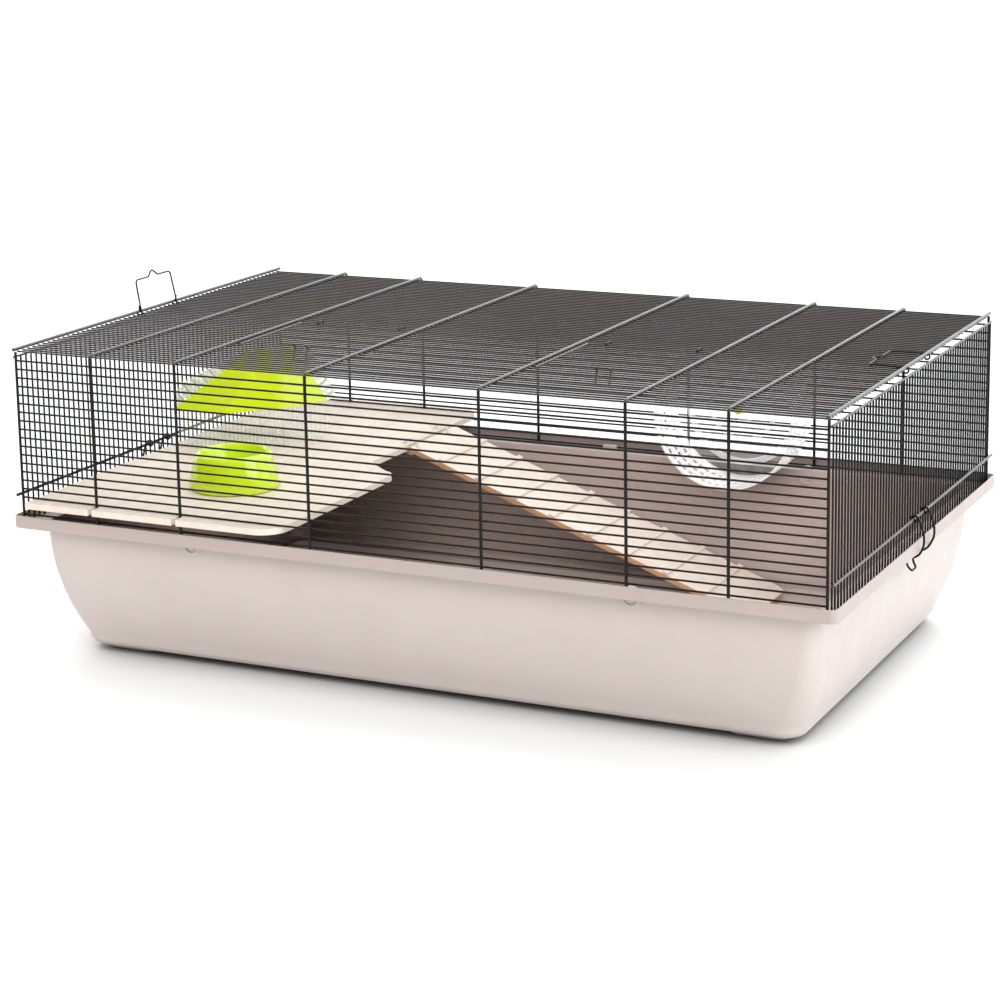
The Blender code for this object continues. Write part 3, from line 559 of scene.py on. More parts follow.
def tub_shell():
    """The tub in one piece: the wall outside, the rim, its ledge and the wall inside."""
    outer, inner = tub_section(0.0), tub_section(WALL)
    half_x, half_y = TUB_HIGH.x, TUB_HIGH.y
    mouth_x, mouth_y, mouth_corner, _ = inner[0]
    edge = 0.0007
    rim = [(LIP, LEDGE - WALL), (LIP, RIM - SKIRT + 0.0002), (LIP - 0.0002, RIM - SKIRT),
           (0.0004, RIM - SKIRT), (0.0, RIM - SKIRT + 0.0004), (0.0, RIM - edge)]
    rim += [(edge * (1 - math.cos(math.radians(a))), RIM - edge * (1 - math.sin(math.radians(a))))
            for a in (30, 60, 90)]
    rim += [(LIP - 0.0003, RIM), (LIP, RIM - 0.0003), (LIP, LEDGE)]
    rings = [ring_of(*spec) for spec in reversed(outer)]
    rings += [ring_of(half_x - d, half_y - d, max(RIM_CORNER - d, 0.001), z) for d, z in rim]
    rings.append(ring_of(mouth_x + 0.0008, mouth_y + 0.0008, mouth_corner, LEDGE))
    rings.append(ring_of(mouth_x + 0.0002, mouth_y + 0.0002, mouth_corner, LEDGE - 0.0003))
    rings += [ring_of(*spec) for spec in inner]
    # Rim bands take the darker painted-shade copy; bands inside take the brighter copy with painted
    # ambient-occlusion shade.
    rim_start, rim_end = len(outer) - 1, len(outer) + len(rim) + 1
    return loft("tub_shell", rings, lambda r: 0 if r < rim_start else 1 if r < rim_end else 2)


def build_tub():
    parts = [tub_shell()]
    wall_y = FACE_Y - WALL_TOP_INSET
    tab = [(TAB_R, 0.0)] + [(TAB_R - inwards, TAB_DEPTH - back) for inwards, back in TAB_PROFILE]
    for sx in (-1, 1):
        for sy in (-1, 1):
            place = (sx * FOOT_PLACE[0], sy * FOOT_PLACE[1])
            parts.append(loft("foot", [ring_of(half_x, half_y, corner, TUB_LOW.z + height, place)
                                       for half_x, half_y, corner, height in FOOT_RINGS]))
            parts.append(drum("tab", (sx * TAB_X, sy * (wall_y - 0.0010), WALL_START), (0, sy, 0), tab, 40))
        half = TAB_R - 0.0035
        groove = [(sx * TAB_X + half * math.cos(math.radians(a)), wall_y - WALL - 0.0002,
                   WALL_START - 0.0020 + half * math.sin(math.radians(a))) for a in range(-200, 21, 20)]
        parts.append(wires("groove", [groove], GROOVE_R, 10))
    for sy in (-1, 1):
        parts.append(block("lug", (-LUG_HALF, sy * LUG_Y[0], LUG_Z[0]), (LUG_HALF, sy * LUG_Y[1], LUG_Z[1])))
    add("tub_body", merge("tub_body", *parts), [BEIGE, BEIGE_RIM_PAINTED_SHADE, BEIGE_INSIDE_PAINTED_LIGHT_SHADE], "cage",
        ["tub"], 42)


build_tub()


# ---- wire top ------------------------------------------------------------------------------------
def lines_x(low, high, places):
    """Straight wires along X at (y, z) places."""
    return [[(low, y, z), (high, y, z)] for y, z in places]


def build_side_faces():
    for name, side in (("front", -1), ("back", 1)):
        y = side * FACE_Y
        rows = wires("rows", lines_x(-END_WIRE_X, END_WIRE_X, [(y, z) for z in ROW_Z]), LINE_R)
        posts = wires("posts", [[(x, y, WIRE_FOOT), (x, y, ROOF)] for x in (-END_WIRE_X, END_WIRE_X)],
                      POST_R, 12)
        add(f"{name}_wires", merge(f"{name}_wires", rows, posts), BLACK, "cage",
            [f"{name}_grid"])


def build_roof():
    # The roof wires take the painted-light copy of the black.
    strips = {"roof_front": COLUMN_Y[:DOOR_FIRST], "roof_back": COLUMN_Y[DOOR_LAST + 1:]}
    for node, places in strips.items():
        mesh = wires(node, lines_x(-END_WIRE_X, END_WIRE_X, [(y, ROOF) for y in places]), ROOF_R)
        add(f"{node}_wires", mesh, ROOF_BLACK_PAINTED_LIGHT, "cage", [node])
    reach = FACE_Y + EDGE_STUB
    for node in ("roof_left", "roof_middle", "roof_right"):
        low, high = (corner.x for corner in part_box(node))
        parts = [wires("lines", lines_x(max(low, -END_WIRE_X), min(high, END_WIRE_X), DOOR_LINES), ROOF_R)]
        heavy = []
        for edge in (low, high):
            x = edge - math.copysign(BAR / 2, edge - (low + high) / 2)
            if abs(x) > END_WIRE_X - 0.001:
                heavy.append(wires("edge", [[(x, -reach, STAY_Z), (x, reach, STAY_Z)]], EDGE_R, 12))
                # The heavy end edge wires take the painted-highlight copy of the black.
                paint(heavy[-1], 1)
            else:
                parts.append(wires("edge", [[(x, COLUMN_Y[DOOR_FIRST] - LINE_HALF, ROOF),
                                             (x, COLUMN_Y[DOOR_LAST] + LINE_HALF, ROOF)]], LINE_R))
        add(f"{node}_wires", merge(node, *parts, *heavy), [ROOF_BLACK_PAINTED_LIGHT, STAY_BLACK_PAINTED_HIGHLIGHT], "cage",
            [node])


def build_ends():
    top_z = END_TOP - END_EDGE_R - END_EDGE_DROP
    for name, side in (("left", -1), ("right", 1)):
        x = side * END_X
        uprights = wires("uprights", [[(x, y, WIRE_FOOT), (x, y, END_TOP - LINE_R)] for y in COLUMN_Y],
                         LINE_R)
        top = wires("top", [[(x, -FACE_Y, top_z), (x, FACE_Y, top_z)]], END_EDGE_R, 12)
        # The end's top wire takes the painted-highlight copy of the black.
        paint(top, 1)
        add(f"{name}_end_wires", merge(f"{name}_end", uprights, top), [BLACK, STAY_BLACK_PAINTED_HIGHLIGHT], "cage",
            [f"{name}_end_grid"])
        low_stay = [(side * LOW_STAY_MID.x, y, LOW_STAY_MID.z) for y in (LOW_STAY_LOW.y, LOW_STAY_HIGH.y)]
        # Only the right low stay, on the lit side, takes the painted-highlight copy of the black.
        add(f"{name}_low_stay_wire", wires("low", [low_stay], STAY_R, 12), STAY_BLACK_PAINTED_HIGHLIGHT if side > 0 else BLACK,
            "cage", [f"{name}_low_stay"])


def build_stays():
    for number, x in enumerate(STAY_X, 1):
        path = [(x, -STAY_Y, WIRE_FOOT), (x, -STAY_Y, STAY_Z), (x, STAY_Y, STAY_Z), (x, STAY_Y, WIRE_FOOT)]
        mesh = wires("stay", [rounded(path, STAY_BEND, 8)], STAY_R, 16)
        # The bent tops take the painted-highlight copy of the black, the legs the plain black.
        for face in mesh.polygons:
            if face.center.z > STAY_Z - STAY_BEND / 2:
                face.material_index = 1
        add(f"stay_wire_{number}", mesh, [BLACK, STAY_BLACK_PAINTED_HIGHLIGHT], "cage", [f"stay_{number}"])


build_side_faces()
build_roof()
build_ends()
build_stays()


# ---- roof doors ----------------------------------------------------------------------------------
def door_ring(name, number):
    """A closed ring round the door's last wire and the roof wire behind it."""
    low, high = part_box(f"door_{name}_ring_{number}")
    x = (low.x + high.x) / 2
    radius = (high.z - low.z) / 2 - DOOR_RING_R
    loop = []
    for step in range(24):
        angle = 2 * math.pi * step / 24
        y = COLUMN_Y[DOOR_LAST + 1] if math.cos(angle) > 0 else COLUMN_Y[DOOR_LAST]
        loop.append((x, y + radius * math.cos(angle), ROOF + radius * math.sin(angle)))
    add(f"door_{name}_ring_wire_{number}", wires("ring", [loop], DOOR_RING_R, 8, True), BLACK,
        f"roof_door_{name}", [f"door_{name}_ring_{number}"])


def build_doors():
    front, back = COLUMN_Y[DOOR_FIRST], COLUMN_Y[DOOR_LAST]
    for name in ("left", "right"):
        low, high = (corner.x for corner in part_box(f"door_{name}"))
        side_x = (low + BAR / 2, high - BAR / 2)
        lines = wires("lines", lines_x(*side_x, DOOR_LINES), ROOF_R)
        sides = wires("sides", [[(x, front - 0.002, ROOF), (x, back + 0.001, ROOF)] for x in side_x],
                      DOOR_SIDE_R, 12)
        # The door wires take the painted-light copy of the black.
        add(f"roof_door_{name}_wires", merge("door", lines, sides), ROOF_BLACK_PAINTED_LIGHT, f"roof_door_{name}",
            [f"door_{name}"])
        for number in (1, 2):
            door_ring(name, number)
        middle = (low + high) / 2
        loop = [(middle + LATCH_HALF, front + y, ROOF + z) for y, z in LATCH_SIDE]
        loop += [(middle - LATCH_HALF, front + y, ROOF + z) for y, z in reversed(LATCH_SIDE)]
        # The latch takes the painted-highlight copy of the black for its glint.
        add(f"latch_{name}_wire", wires("latch", [rounded(loop, 0.0012, 3, True)], LATCH_R, 10, True),
            STAY_BLACK_PAINTED_HIGHLIGHT, f"door_latch_{name}", [f"latch_{name}"])


build_doors()


# ---- handles and clips ---------------------------------------------------------------------------
HANDLE_EYE = 0.0028
HANDLE_LEAN = math.radians(11)
HANDLE_COLUMNS = 4
HANDLE_REACH = 0.0355
HANDLE_PEAK = 0.0070
HANDLE_WRAP = 0.0085
CLIP_EYE = 0.0030
CLIP_COLUMNS = 2
CLIP_TAB_HALF = 0.0078


def handle_path():
    """A handle lying flat towards -X from its bar at the origin, eye to eye, each end wrapped up its leg."""
    eye_y = HANDLE_COLUMNS * COLUMN_PITCH
    half = [(-HANDLE_WRAP, eye_y + 2.2 * HANDLE_R, HANDLE_EYE),
            (-HANDLE_EYE - 0.0012, eye_y + 1.2 * HANDLE_R, HANDLE_EYE - 1.6 * HANDLE_R)]
    half += [(HANDLE_EYE * math.cos(math.radians(a)), eye_y, HANDLE_EYE * math.sin(math.radians(a)))
             for a in range(-160, 91, 10)]
    shape = [half[-1], (-0.012, eye_y, HANDLE_EYE), (-HANDLE_REACH, eye_y - 0.0010, HANDLE_EYE),
             (-HANDLE_REACH, 0.0090, HANDLE_EYE), (-HANDLE_REACH - HANDLE_PEAK, 0.0, HANDLE_EYE)]
    shape += [(x, -y, z) for x, y, z in reversed(shape[:-1])]
    return half[:-1] + rounded(shape, 0.005, 6) + [(x, -y, z) for x, y, z in reversed(half[:-1])]


def clip_path():
    """A clip hanging from its stay at the origin: out, round the rim and back in to a square hook."""
    clip_y = CLIP_COLUMNS * COLUMN_PITCH
    half = [(CLIP_EYE * math.cos(math.radians(a)), clip_y, CLIP_EYE * math.sin(math.radians(a)))
            for a in range(360, 89, -15)]
    tail = [half[-1], (0.0030, clip_y, 0.0021), (0.0058, clip_y, -0.0026), (0.0080, clip_y, -0.0085),
            (0.0096, clip_y, -0.0155), (0.0099, clip_y, -0.0210), (0.0092, clip_y - 0.0005, -0.0260),
            (0.0068, clip_y - 0.0015, -0.0315), (0.0046, clip_y - 0.0025, -0.0350),
            (0.0010, clip_y - 0.0035, -0.0378), (-0.0034, clip_y - 0.0045, -0.0390),
            (-0.0080, clip_y - 0.0055, -0.0410), (-0.0091, clip_y - 0.0065, -0.0436),
            (-0.0076, CLIP_TAB_HALF + 0.0012, -0.0494), (-0.0050, CLIP_TAB_HALF - 0.0008, -0.0530),
            (-0.0044, CLIP_TAB_HALF - 0.0026, -0.0538)]
    tail += [(x, -y, z) for x, y, z in reversed(tail)]
    return half[:-1] + rounded(tail, 0.004, 4) + [(x, -y, z) for x, y, z in reversed(half[:-1])]


def build_fittings():
    flat = [tuple(p) for p in handle_path()]
    lying = [(END_WIRE_X + x, y, ROOF + z) for x, y, z in flat]
    cos, sin = math.cos(HANDLE_LEAN), math.sin(HANDLE_LEAN)
    standing = [(-END_WIRE_X + z * cos + x * sin, y, ROOF + z * sin - x * cos) for x, y, z in flat]
    for name, path in (("right", lying), ("left", standing)):
        add(f"handle_{name}_wire", wires("handle", [path], HANDLE_R, 12), BLACK, f"carry_handle_{name}",
            [f"handle_{name}"])
    for side, name in ((-1, "left"), (1, "right")):
        path = [(side * (LOW_STAY_MID.x + x), y, LOW_STAY_MID.z + z) for x, y, z in clip_path()]
        add(f"clip_{name}_wire", wires("clip", [path], CLIP_R, 12), BLACK, f"end_clip_{name}",
            [f"clip_{name}"])


build_fittings()

# ---- platform ------------------------------------------------------------------------------------
BOARD_LIP = BOARD_BOX_HIGH.y
BOARD_LEFT = BOARD_BOX_LOW.x
BOARD_RIGHT = BOARD_BOX_HIGH.x
BOARD_NOTCH = -0.1655
BOARD_CORNER = 0.0260
BOARD_BUMP = 0.0180
BOARD_BUMP_Y = -0.0400
SLOT_HALF = 0.0025
SLOT_END = 0.2570
HINGE_X = -0.1655
HINGE_Z = (BOARD_BOX_LOW.z + BOARD_BOX_HIGH.z) / 2
RING_Y = [sum(p.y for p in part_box(f"ramp_ring_{n}")) / 2 for n in (1, 2)]
RING_R = 0.0085
RING_WIRE = 0.0011
RING_HOLE = 0.0023
DRILL_DEPTH = 0.0200


def arc(middle, radius, first, last, steps=12):
    """Points of an arc between two angles in degrees."""
    return [(middle[0] + radius * math.cos(math.radians(first + (last - first) * k / steps)),
             middle[1] + radius * math.sin(math.radians(first + (last - first) * k / steps)))
            for k in range(steps + 1)]


def board_outline():
    """The platform's edge: slots for two stays at the front and back, a bump and a step on the right."""
    notched = STAY_X[:2]
    made = [(BOARD_LEFT, BOARD_LIP), (BOARD_LEFT, -BOARD_LIP)]
    for x in notched:
        made += [(x - SLOT_HALF, -BOARD_LIP), (x - SLOT_HALF, -SLOT_END),
                 (x + SLOT_HALF, -SLOT_END), (x + SLOT_HALF, -BOARD_LIP)]
    made += arc((BOARD_RIGHT - BOARD_CORNER, -BOARD_LIP + BOARD_CORNER), BOARD_CORNER, -90, 0)
    made += arc((BOARD_RIGHT - BOARD_BUMP, BOARD_BUMP_Y), BOARD_BUMP, 0, 75)
    made += [(BOARD_NOTCH + 0.0110, -0.0040), (BOARD_NOTCH, 0.0100)]
    made += arc((BOARD_NOTCH - BOARD_CORNER, BOARD_LIP - BOARD_CORNER), BOARD_CORNER, 0, 90)
    for x in reversed(notched):
        made += [(x + SLOT_HALF, BOARD_LIP), (x + SLOT_HALF, SLOT_END),
                 (x - SLOT_HALF, SLOT_END), (x - SLOT_HALF, BOARD_LIP)]
    return made


def drill(made, places, direction):
    """The holes for the hinge rings."""
    for place in places:
        start = Vector(place) - Vector(direction) * DRILL_DEPTH / 2
        carve(made, drum("drill", start, direction, [(RING_HOLE, 0.0), (RING_HOLE, DRILL_DEPTH)], 24))


def build_platform():
    mesh = prism("board", board_outline(), BOARD_BOX_LOW.z, BOARD_BOX_HIGH.z)
    board = add("platform_board", mesh, BOARD_WOOD, "cage", ["platform"])
    drill(board, [(HINGE_X - RING_R, y, HINGE_Z) for y in RING_Y], (0, 0, 1))
    bevel(board, 0.0009)


build_platform()

# ---- ramp ----------------------------------------------------------------------------------------
RAMP_Y = (0.0872, 0.1965)
RAMP_START = 0.0025
RAMP_LENGTH = 0.4150
RAMP_ANGLE = math.radians(20.55)
RAMP_HALF = 0.0030
RAMP_BEND = 0.0120
TREADS = 8
TREAD_FIRST = 0.0385
TREAD_PITCH = 0.0455
TREAD_WIDTH = 0.0060


def build_ramp():
    down = Matrix.Translation((HINGE_X, 0, HINGE_Z)) @ Matrix.Rotation(RAMP_ANGLE, 4, "Y")
    near, far = RAMP_Y
    outline = [(RAMP_START, far), (RAMP_START, near)]
    outline += arc((RAMP_LENGTH - RAMP_BEND, near + RAMP_BEND), RAMP_BEND, -90, 0)
    outline += arc((RAMP_LENGTH - RAMP_BEND, far - RAMP_BEND), RAMP_BEND, 0, 90)
    mesh = prism("ramp", outline, -RAMP_HALF, RAMP_HALF, 1)
    mesh.transform(down)
    board = add("ramp_board_wood", mesh, [RAMP_WOOD, EDGE_WOOD], "ramp_board", ["ramp"])
    drill(board, [down @ Vector((RING_R, y, 0)) for y in RING_Y], down.to_3x3() @ Vector((0, 0, 1)))
    bevel(board, 0.0010)
    for number in range(1, TREADS + 1):
        start = TREAD_FIRST + TREAD_PITCH * (number - 1)
        end = start + TREAD_WIDTH
        mesh = prism("tread", [(start, near), (end, near), (end, far), (start, far)],
                     RAMP_HALF + 0.0001, RAMP_HALF + 0.0030)
        mesh.transform(down)
        tread = add(f"tread_slat_{number}", mesh, RAMP_WOOD, "ramp_board", [f"tread_{number}"])
        bevel(tread, 0.0008)
    for number, y in enumerate(RING_Y, 1):
        circle = [(HINGE_X + u, y, HINGE_Z + v) for u, v in arc((0, 0), RING_R, 0, 350, 35)]
        add(f"ramp_ring_loop_{number}", wires("ring", [circle], RING_WIRE, 10, True), WHITE, "cage",
            [f"ramp_ring_{number}"])


build_ramp()

# ---- wheel ---------------------------------------------------------------------------------------
WHEEL_MID = ((WHEEL_LOW.x + WHEEL_HIGH.x) / 2, (WHEEL_LOW.z + WHEEL_HIGH.z) / 2)
WHEEL_R = (WHEEL_HIGH.x - WHEEL_LOW.x) / 2
WHEEL_FRONT, WHEEL_BACK = WHEEL_LOW.y, WHEEL_HIGH.y
WHEEL_WALL = 0.0020
WHEEL_SLOTS = 60
SLOT_STEPS = 3
WHEEL_BANDS = (0.0, 0.0080, 0.0155, 0.0235, 0.0310, 0.0390, 0.0465,
               WHEEL_BACK - WHEEL_FRONT - WHEEL_WALL)                 # each second one is cut by slots
AXLE_R = 0.0040
BORE_R = AXLE_R + 0.0003
PLATE_Y = WHEEL_BACK - WHEEL_WALL
HUB_Y = PLATE_Y - 0.0120
WHEEL_PLATE = (
    (0.0630, PLATE_Y, 1), (0.0615, PLATE_Y - 0.0020, 2), (0.0575, PLATE_Y - 0.0020, 2), (0.0560, PLATE_Y, 2),
    (0.0380, PLATE_Y, 1), (0.0370, PLATE_Y - 0.0012, 2), (0.0345, PLATE_Y - 0.0012, 2), (0.0335, PLATE_Y, 2),
    (0.0100, PLATE_Y, 1), (0.0085, HUB_Y, 2), (BORE_R, HUB_Y, 2), (BORE_R, WHEEL_BACK, 2),
    (WHEEL_R, WHEEL_BACK, 1))                                         # (radius, y, material number)
STAND_R = 0.0170


def build_wheel():
    """The drum with its slots, two walls thick, and its closed back with grooves and a hub."""
    count = SLOT_STEPS * WHEEL_SLOTS
    layer_size = len(WHEEL_BANDS) * count
    points, faces, looks = [], [], []

    def circle(radius, y):
        points.extend((x, y, z) for x, z, _ in circle_ring(radius, y, count, WHEEL_MID))

    def face(corners, look=0):
        faces.append(corners)
        looks.append(look)

    def at(layer, band, k):
        return layer * layer_size + band * count + k % count

    for radius in (WHEEL_R, WHEEL_R - WHEEL_WALL):
        for band in WHEEL_BANDS:
            circle(radius, WHEEL_FRONT + band)
    last_band = len(WHEEL_BANDS) - 1
    for band in range(last_band):
        for k in range(count):
            corners = (at(0, band, k), at(0, band, k + 1), at(0, band + 1, k + 1), at(0, band + 1, k))
            if band % 2 == 0 or k % SLOT_STEPS == 0:
                face(corners)
                face(tuple(c + layer_size for c in corners))
                continue
            a, b, c, d = corners
            sides = [(a, b), (d, c)]
            if k % SLOT_STEPS == 1:
                sides.append((a, d))
            if k % SLOT_STEPS == SLOT_STEPS - 1:
                sides.append((b, c))
            for p, q in sides:
                face((p, q, q + layer_size, p + layer_size), 2)
    for k in range(count):
        face((at(0, 0, k), at(0, 0, k + 1), at(1, 0, k + 1), at(1, 0, k)), 2)
    first = len(points)
    for radius, y, _ in WHEEL_PLATE:
        circle(radius, y)
    last = len(points) - count
    for k in range(count):
        n = (k + 1) % count
        face((at(1, last_band, k), at(1, last_band, n), first + n, first + k), 1)
        for ring in range(len(WHEEL_PLATE) - 1):
            low, high = first + ring * count, first + (ring + 1) * count
            face((low + k, low + n, high + n, high + k), WHEEL_PLATE[ring + 1][2])
        face((last + k, last + n, at(0, last_band, n), at(0, last_band, k)), 1)
    add("wheel_drum", mesh_of("wheel", points, faces, looks), [WHEEL_CLEAR, CLEAR, CLEAR_EDGE],
        "running_wheel", ["wheel"])


def build_wheel_stand():
    low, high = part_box("wheel_bracket")
    x, z = WHEEL_MID
    shoulder, tip = high.y - WHEEL_BACK - 0.0020, high.y - low.y
    mesh = drum("bracket", (x, high.y, z), (0, -1, 0),
                [(STAND_R - 0.0005, 0.0), (STAND_R, 0.0006), (STAND_R, shoulder - 0.0006),
                 (STAND_R - 0.0006, shoulder), (AXLE_R, shoulder), (AXLE_R, tip - 0.0004),
                 (AXLE_R - 0.0004, tip)])
    add("wheel_stand", mesh, CLEAR, "cage", ["wheel_bracket"])
    low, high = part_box("wheel_cap")
    depth, radius = high.y - low.y, (high.x - low.x) / 2
    mesh = drum("cap", (x, high.y, z), (0, -1, 0),
                [(radius - 0.0004, 0.0), (radius, 0.0004), (radius - 0.0003, depth * 0.5),
                 (radius - 0.0012, depth * 0.85), (radius * 0.6, depth * 0.97), (radius * 0.25, depth)])
    add("wheel_cap_button", mesh, LIME, "cage", ["wheel_cap"])


build_wheel()
build_wheel_stand()


# ---- bowl ----------------------------------------------------------------------------------------
BOWL_TAPER = 0.813
BOWL_FOOT = 0.0022
BOWL_BOW = 0.0008


def build_bowl():
    middle = ((BOWL_LOW.x + BOWL_HIGH.x) / 2, (BOWL_LOW.y + BOWL_HIGH.y) / 2)
    base, height = (BOWL_HIGH.x - BOWL_LOW.x) / 2, BOWL_HIGH.z - BOWL_LOW.z
    top = base * BOWL_TAPER
    neck, shoulder = top + 0.0030, height - 0.0075
    section = [(base - 0.0020, 0.0), (base - 0.0005, 0.0006), (base, BOWL_FOOT)]
    for step in range(1, 9):
        t = step / 8
        section.append((base + (neck - base) * t + BOWL_BOW * math.sin(math.pi * t),
                        BOWL_FOOT + (shoulder - BOWL_FOOT) * t))
    for degrees in (20, 40, 60, 75, 90):
        angle = math.radians(degrees)
        section.append((neck - 0.0062 * (1 - math.cos(angle)), shoulder + 0.0075 * math.sin(angle)))
    section += [(top - 0.0042, height - 0.0006), (top - 0.0052, height - 0.0024), (top - 0.0062, 0.0200),
                (top - 0.0090, 0.0150), (top - 0.0140, 0.0132)]
    mesh = loft("bowl", [circle_ring(r, BOWL_LOW.z + z, 96, middle) for r, z in section])
    add("bowl_dish", mesh, BOWL_LIME, "bowl", ["food_bowl"])


build_bowl()

# ---- house ---------------------------------------------------------------------------------------
HOUSE_EAVE_Z, HOUSE_PEAK_Z = LID_LOW.z, LID_HIGH.z
HOUSE_CORNERS = (
    ((-0.4000, 0.1120), (-0.3960, 0.1080, RIM + 0.0930)),
    ((-0.4000, -0.0060), (-0.3960, 0.0060, RIM + 0.0840)),
    ((-0.3910, -0.0170), (-0.3290, 0.0420, HOUSE_PEAK_Z)),
    ((-0.3280, -0.0150), (-0.3180, 0.0450, HOUSE_PEAK_Z)),
    ((-0.2910, 0.0210), (-0.3040, 0.0500, HOUSE_PEAK_Z)),
    ((-0.2690, 0.0500), (-0.2920, 0.0550, HOUSE_PEAK_Z)),
    ((-0.2580, 0.0820), (-0.2830, 0.0620, HOUSE_PEAK_Z)),
    ((-0.2610, 0.1080), (-0.2900, 0.1000, HOUSE_PEAK_Z)),
)                                                                     # (place at the eave, place at the top)
PALE_SIDES = (0, 1, 6, 7)
HOUSE_MIDDLE = (-0.3400, 0.0560)
HOUSE_INSET = 0.0060
HOUSE_WALL = 0.0025
LID_TOP_WALL = 0.0026
LID_WALL = 1.5 * LID_TOP_WALL
DOOR_WAY = (-0.3310, -0.0080)
DOOR_FACING = math.radians(110)
DOOR_HALF = 0.0300
DOOR_SILL = 0.0100
DOOR_HEAD = 0.0060
DOOR_ARCH = 0.0180
DOOR_DEPTH = (-0.0260, 0.0220)


def house_ring(inset, z, upper=False):
    """The corners of the lid, drawn in towards the middle. upper takes the top corners, lowered by z."""
    made = []
    for eave, top in HOUSE_CORNERS:
        x, y = (top if upper else eave)[:2]
        dx, dy = x - HOUSE_MIDDLE[0], y - HOUSE_MIDDLE[1]
        keep = max(0.3, 1 - inset / math.hypot(dx, dy))
        made.append((HOUSE_MIDDLE[0] + dx * keep, HOUSE_MIDDLE[1] + dy * keep, top[2] - z if upper else z))
    return made


def doorway():
    """An arched cutter through the front wall of the house."""
    out = Vector((-math.cos(DOOR_FACING), -math.sin(DOOR_FACING), 0))
    across = Vector((-out.y, out.x, 0))
    sill, crown = HOUSE_LOW.z + DOOR_SILL, HOUSE_HIGH.z - DOOR_HEAD
    profile = [(DOOR_HALF, sill)]
    profile += [(DOOR_HALF * math.cos(math.radians(a)), crown - DOOR_ARCH * (1 - math.sin(math.radians(a))))
                for a in range(0, 181, 10)]
    profile.append((-DOOR_HALF, sill))
    count = len(profile)
    points = []
    for depth in DOOR_DEPTH:
        for u, z in profile:
            place = Vector((*DOOR_WAY, 0)) + across * u + out * depth
            points.append((place.x, place.y, z))
    faces = [tuple(range(count)), tuple(range(2 * count - 1, count - 1, -1))]
    faces += [(k, count + k, count + (k + 1) % count, (k + 1) % count) for k in range(count)]
    made = mesh_of("doorway", points, faces)
    face_outwards(made)
    return made


def build_walls():
    low, high, inner = HOUSE_LOW.z, HOUSE_HIGH.z, HOUSE_INSET + HOUSE_WALL
    rings = [house_ring(HOUSE_INSET, low), house_ring(HOUSE_INSET, high), house_ring(inner, high),
             house_ring(inner, low + HOUSE_WALL)]
    walls = add("house_shell", loft("house", rings), HOUSE_CLEAR, "house_base",
                ["house_walls"], 25)
    carve(walls, doorway())


def build_lid():
    rings = [house_ring(0.0, 0.0, True), house_ring(0.0, HOUSE_EAVE_Z), house_ring(LID_WALL, HOUSE_EAVE_Z),
             house_ring(LID_WALL, LID_TOP_WALL, True)]
    count = len(HOUSE_CORNERS)
    points = [p for ring in rings for p in ring]
    faces, looks = [], []
    for layer in (0, 3):
        cap = [layer * count + k for k in range(count)]
        faces += [tuple(cap[2:]), (cap[0], cap[1], cap[2]), (cap[0], cap[2], cap[7])]
        looks += [0, 1, 1]
    for r in range(3):
        for k in range(count):
            n = (k + 1) % count
            faces.append((r * count + k, r * count + n, (r + 1) * count + n, (r + 1) * count + k))
            looks.append(1 if k in PALE_SIDES else 0)
    lid = add("house_lid_shell", mesh_of("lid", points, faces, looks), [LIME, RIBBED], "house_lid",
              ["house_roof"], 25)
    bevel(lid, 0.0006)


build_walls()
build_lid()

# ---- floor, light and camera ---------------------------------------------------------------------
VIEW_AZIMUTH = math.radians(26.307)
VIEW_ELEVATION = math.radians(11.799)
VIEW_ROLL = math.radians(-1.102)
VIEW_PLACE = Vector((1.0846, -2.2994, 0.7963))
LENS = 93.14
SHIFT = (0.0355, -0.1193)
WORLD_SEEN = 1.03
WORLD_LOW = 0.06
WORLD_BACK = 0.95
WORLD_TOP = 0.50
BACKDROP_GLOSS = 2.4        # how much brighter the backdrop is in reflections
FLOOR_HALF = 30.0
FLOOR_PALE = (0.95, 0.95, 0.95)
FLOOR_PAINTED_SHADOW = (0.20, 0.20, 0.20)
FLOOR_SHADE_REACH = 0.11


def build_stage():
    """A pale floor with a painted shadow, darker where the tub stands close to it."""
    size = FLOOR_HALF
    corners = [(-size, -size, 0), (size, -size, 0), (size, size, 0), (-size, size, 0)]
    mesh = mesh_of("floor", corners, [(0, 1, 2, 3)])
    look, tree, shader = new_look("pale_floor_painted_shadow", 0.7, FLOOR_PALE)
    # Painted contact shadow: the floor's colour darkens by ambient occlusion near the tub.
    shade = tree.nodes.new("ShaderNodeAmbientOcclusion")
    shade.samples = 12
    shade.inputs["Distance"].default_value = FLOOR_SHADE_REACH
    openness = spread(tree, shade.outputs["AO"], 0.0, 1.0, 0.02, 0.58)
    tree.links.new(mix_colour(tree, openness, FLOOR_PAINTED_SHADOW, FLOOR_PALE), shader.inputs["Base Color"])
    mesh.materials.append(look)
    floor = bpy.data.objects.new("floor", mesh)
    bpy.context.scene.collection.objects.link(floor)
    build_world()


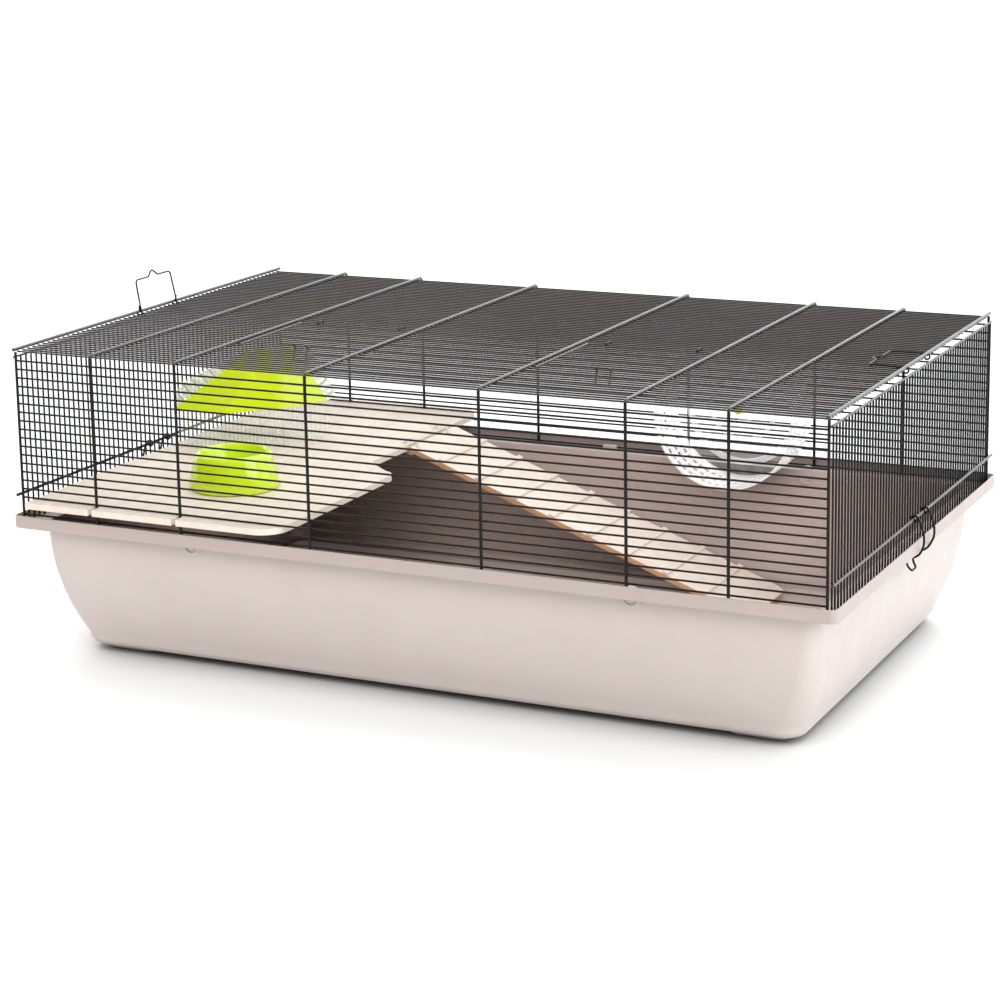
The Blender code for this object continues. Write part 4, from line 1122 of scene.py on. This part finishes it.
def build_world():
    """A white backdrop behind and above, dim on the camera's side, plain white where the camera sees it."""
    world = bpy.data.worlds.new("studio")
    bpy.context.scene.world = world
    world.use_nodes = True
    tree = world.node_tree
    sky = tree.nodes["Background"]
    sky.inputs["Color"].default_value = (1, 1, 1, 1)
    place = tree.nodes.new("ShaderNodeTexCoord")
    parts = tree.nodes.new("ShaderNodeSeparateXYZ")
    tree.links.new(place.outputs["Generated"], parts.inputs[0])
    path = tree.nodes.new("ShaderNodeLightPath")
    behind = spread(tree, parts.outputs["Y"], 0.0, WORLD_BACK, -0.05, 0.45)
    above = spread(tree, parts.outputs["Z"], WORLD_LOW, WORLD_LOW + WORLD_TOP, 0.05, 0.90)
    gain = spread(tree, path.outputs["Is Glossy Ray"], 1.0, BACKDROP_GLOSS, 0.0, 1.0)
    mirrored = tree.nodes.new("ShaderNodeMath")
    mirrored.operation = "MULTIPLY"
    tree.links.new(behind, mirrored.inputs[0])
    tree.links.new(gain, mirrored.inputs[1])
    chosen = tree.nodes.new("ShaderNodeMix")
    chosen.data_type = "FLOAT"
    chosen.inputs["B"].default_value = WORLD_SEEN
    tree.links.new(path.outputs["Is Camera Ray"], chosen.inputs["Factor"])
    tree.links.new(add_up(tree, mirrored.outputs["Value"], above), chosen.inputs["A"])
    tree.links.new(chosen.outputs["Result"], sky.inputs["Strength"])


def sun(name, place, power, softness, colour=(1, 1, 1), shows=True):
    """A broad light that shines from this direction. shows says whether reflections see it."""
    light = bpy.data.lights.new(name, "SUN")
    light.energy = power
    light.angle = math.radians(softness)
    light.color = colour
    made = bpy.data.objects.new(name, light)
    bpy.context.scene.collection.objects.link(made)
    made.rotation_euler = Vector(place).to_track_quat("Z", "Y").to_euler()
    made.visible_glossy = shows


def build_camera():
    """The camera, turned about its own axis by the roll."""
    data = bpy.data.cameras.new("camera")
    made = bpy.data.objects.new("camera", data)
    bpy.context.scene.collection.objects.link(made)
    az, el = VIEW_AZIMUTH, VIEW_ELEVATION
    forward = -Vector((math.sin(az) * math.cos(el), -math.cos(az) * math.cos(el), math.sin(el)))
    right = forward.cross(Vector((0, 0, 1))).normalized()
    up = right.cross(forward)
    cos, sin = math.cos(VIEW_ROLL), math.sin(VIEW_ROLL)
    turned_right, turned_up = cos * right + sin * up, cos * up - sin * right
    made.matrix_world = Matrix.Translation(VIEW_PLACE) @ Matrix(
        (turned_right, turned_up, -forward)).transposed().to_4x4()
    data.lens = LENS
    data.sensor_width = 36.0
    data.shift_x, data.shift_y = SHIFT
    data.clip_start, data.clip_end = 0.05, 100.0
    bpy.context.scene.camera = made


build_stage()
sun("side_light", (0.95, -0.10, 0.45), 1.45, 40, (0.84, 0.96, 1.0))
sun("front_light", (0.25, -0.80, 0.60), 1.6, 40, shows=False)
sun("top_light", (-0.20, 0.25, 0.95), 0.8, 50, shows=False)
bpy.context.scene.view_settings.view_transform = "Standard"
build_camera()
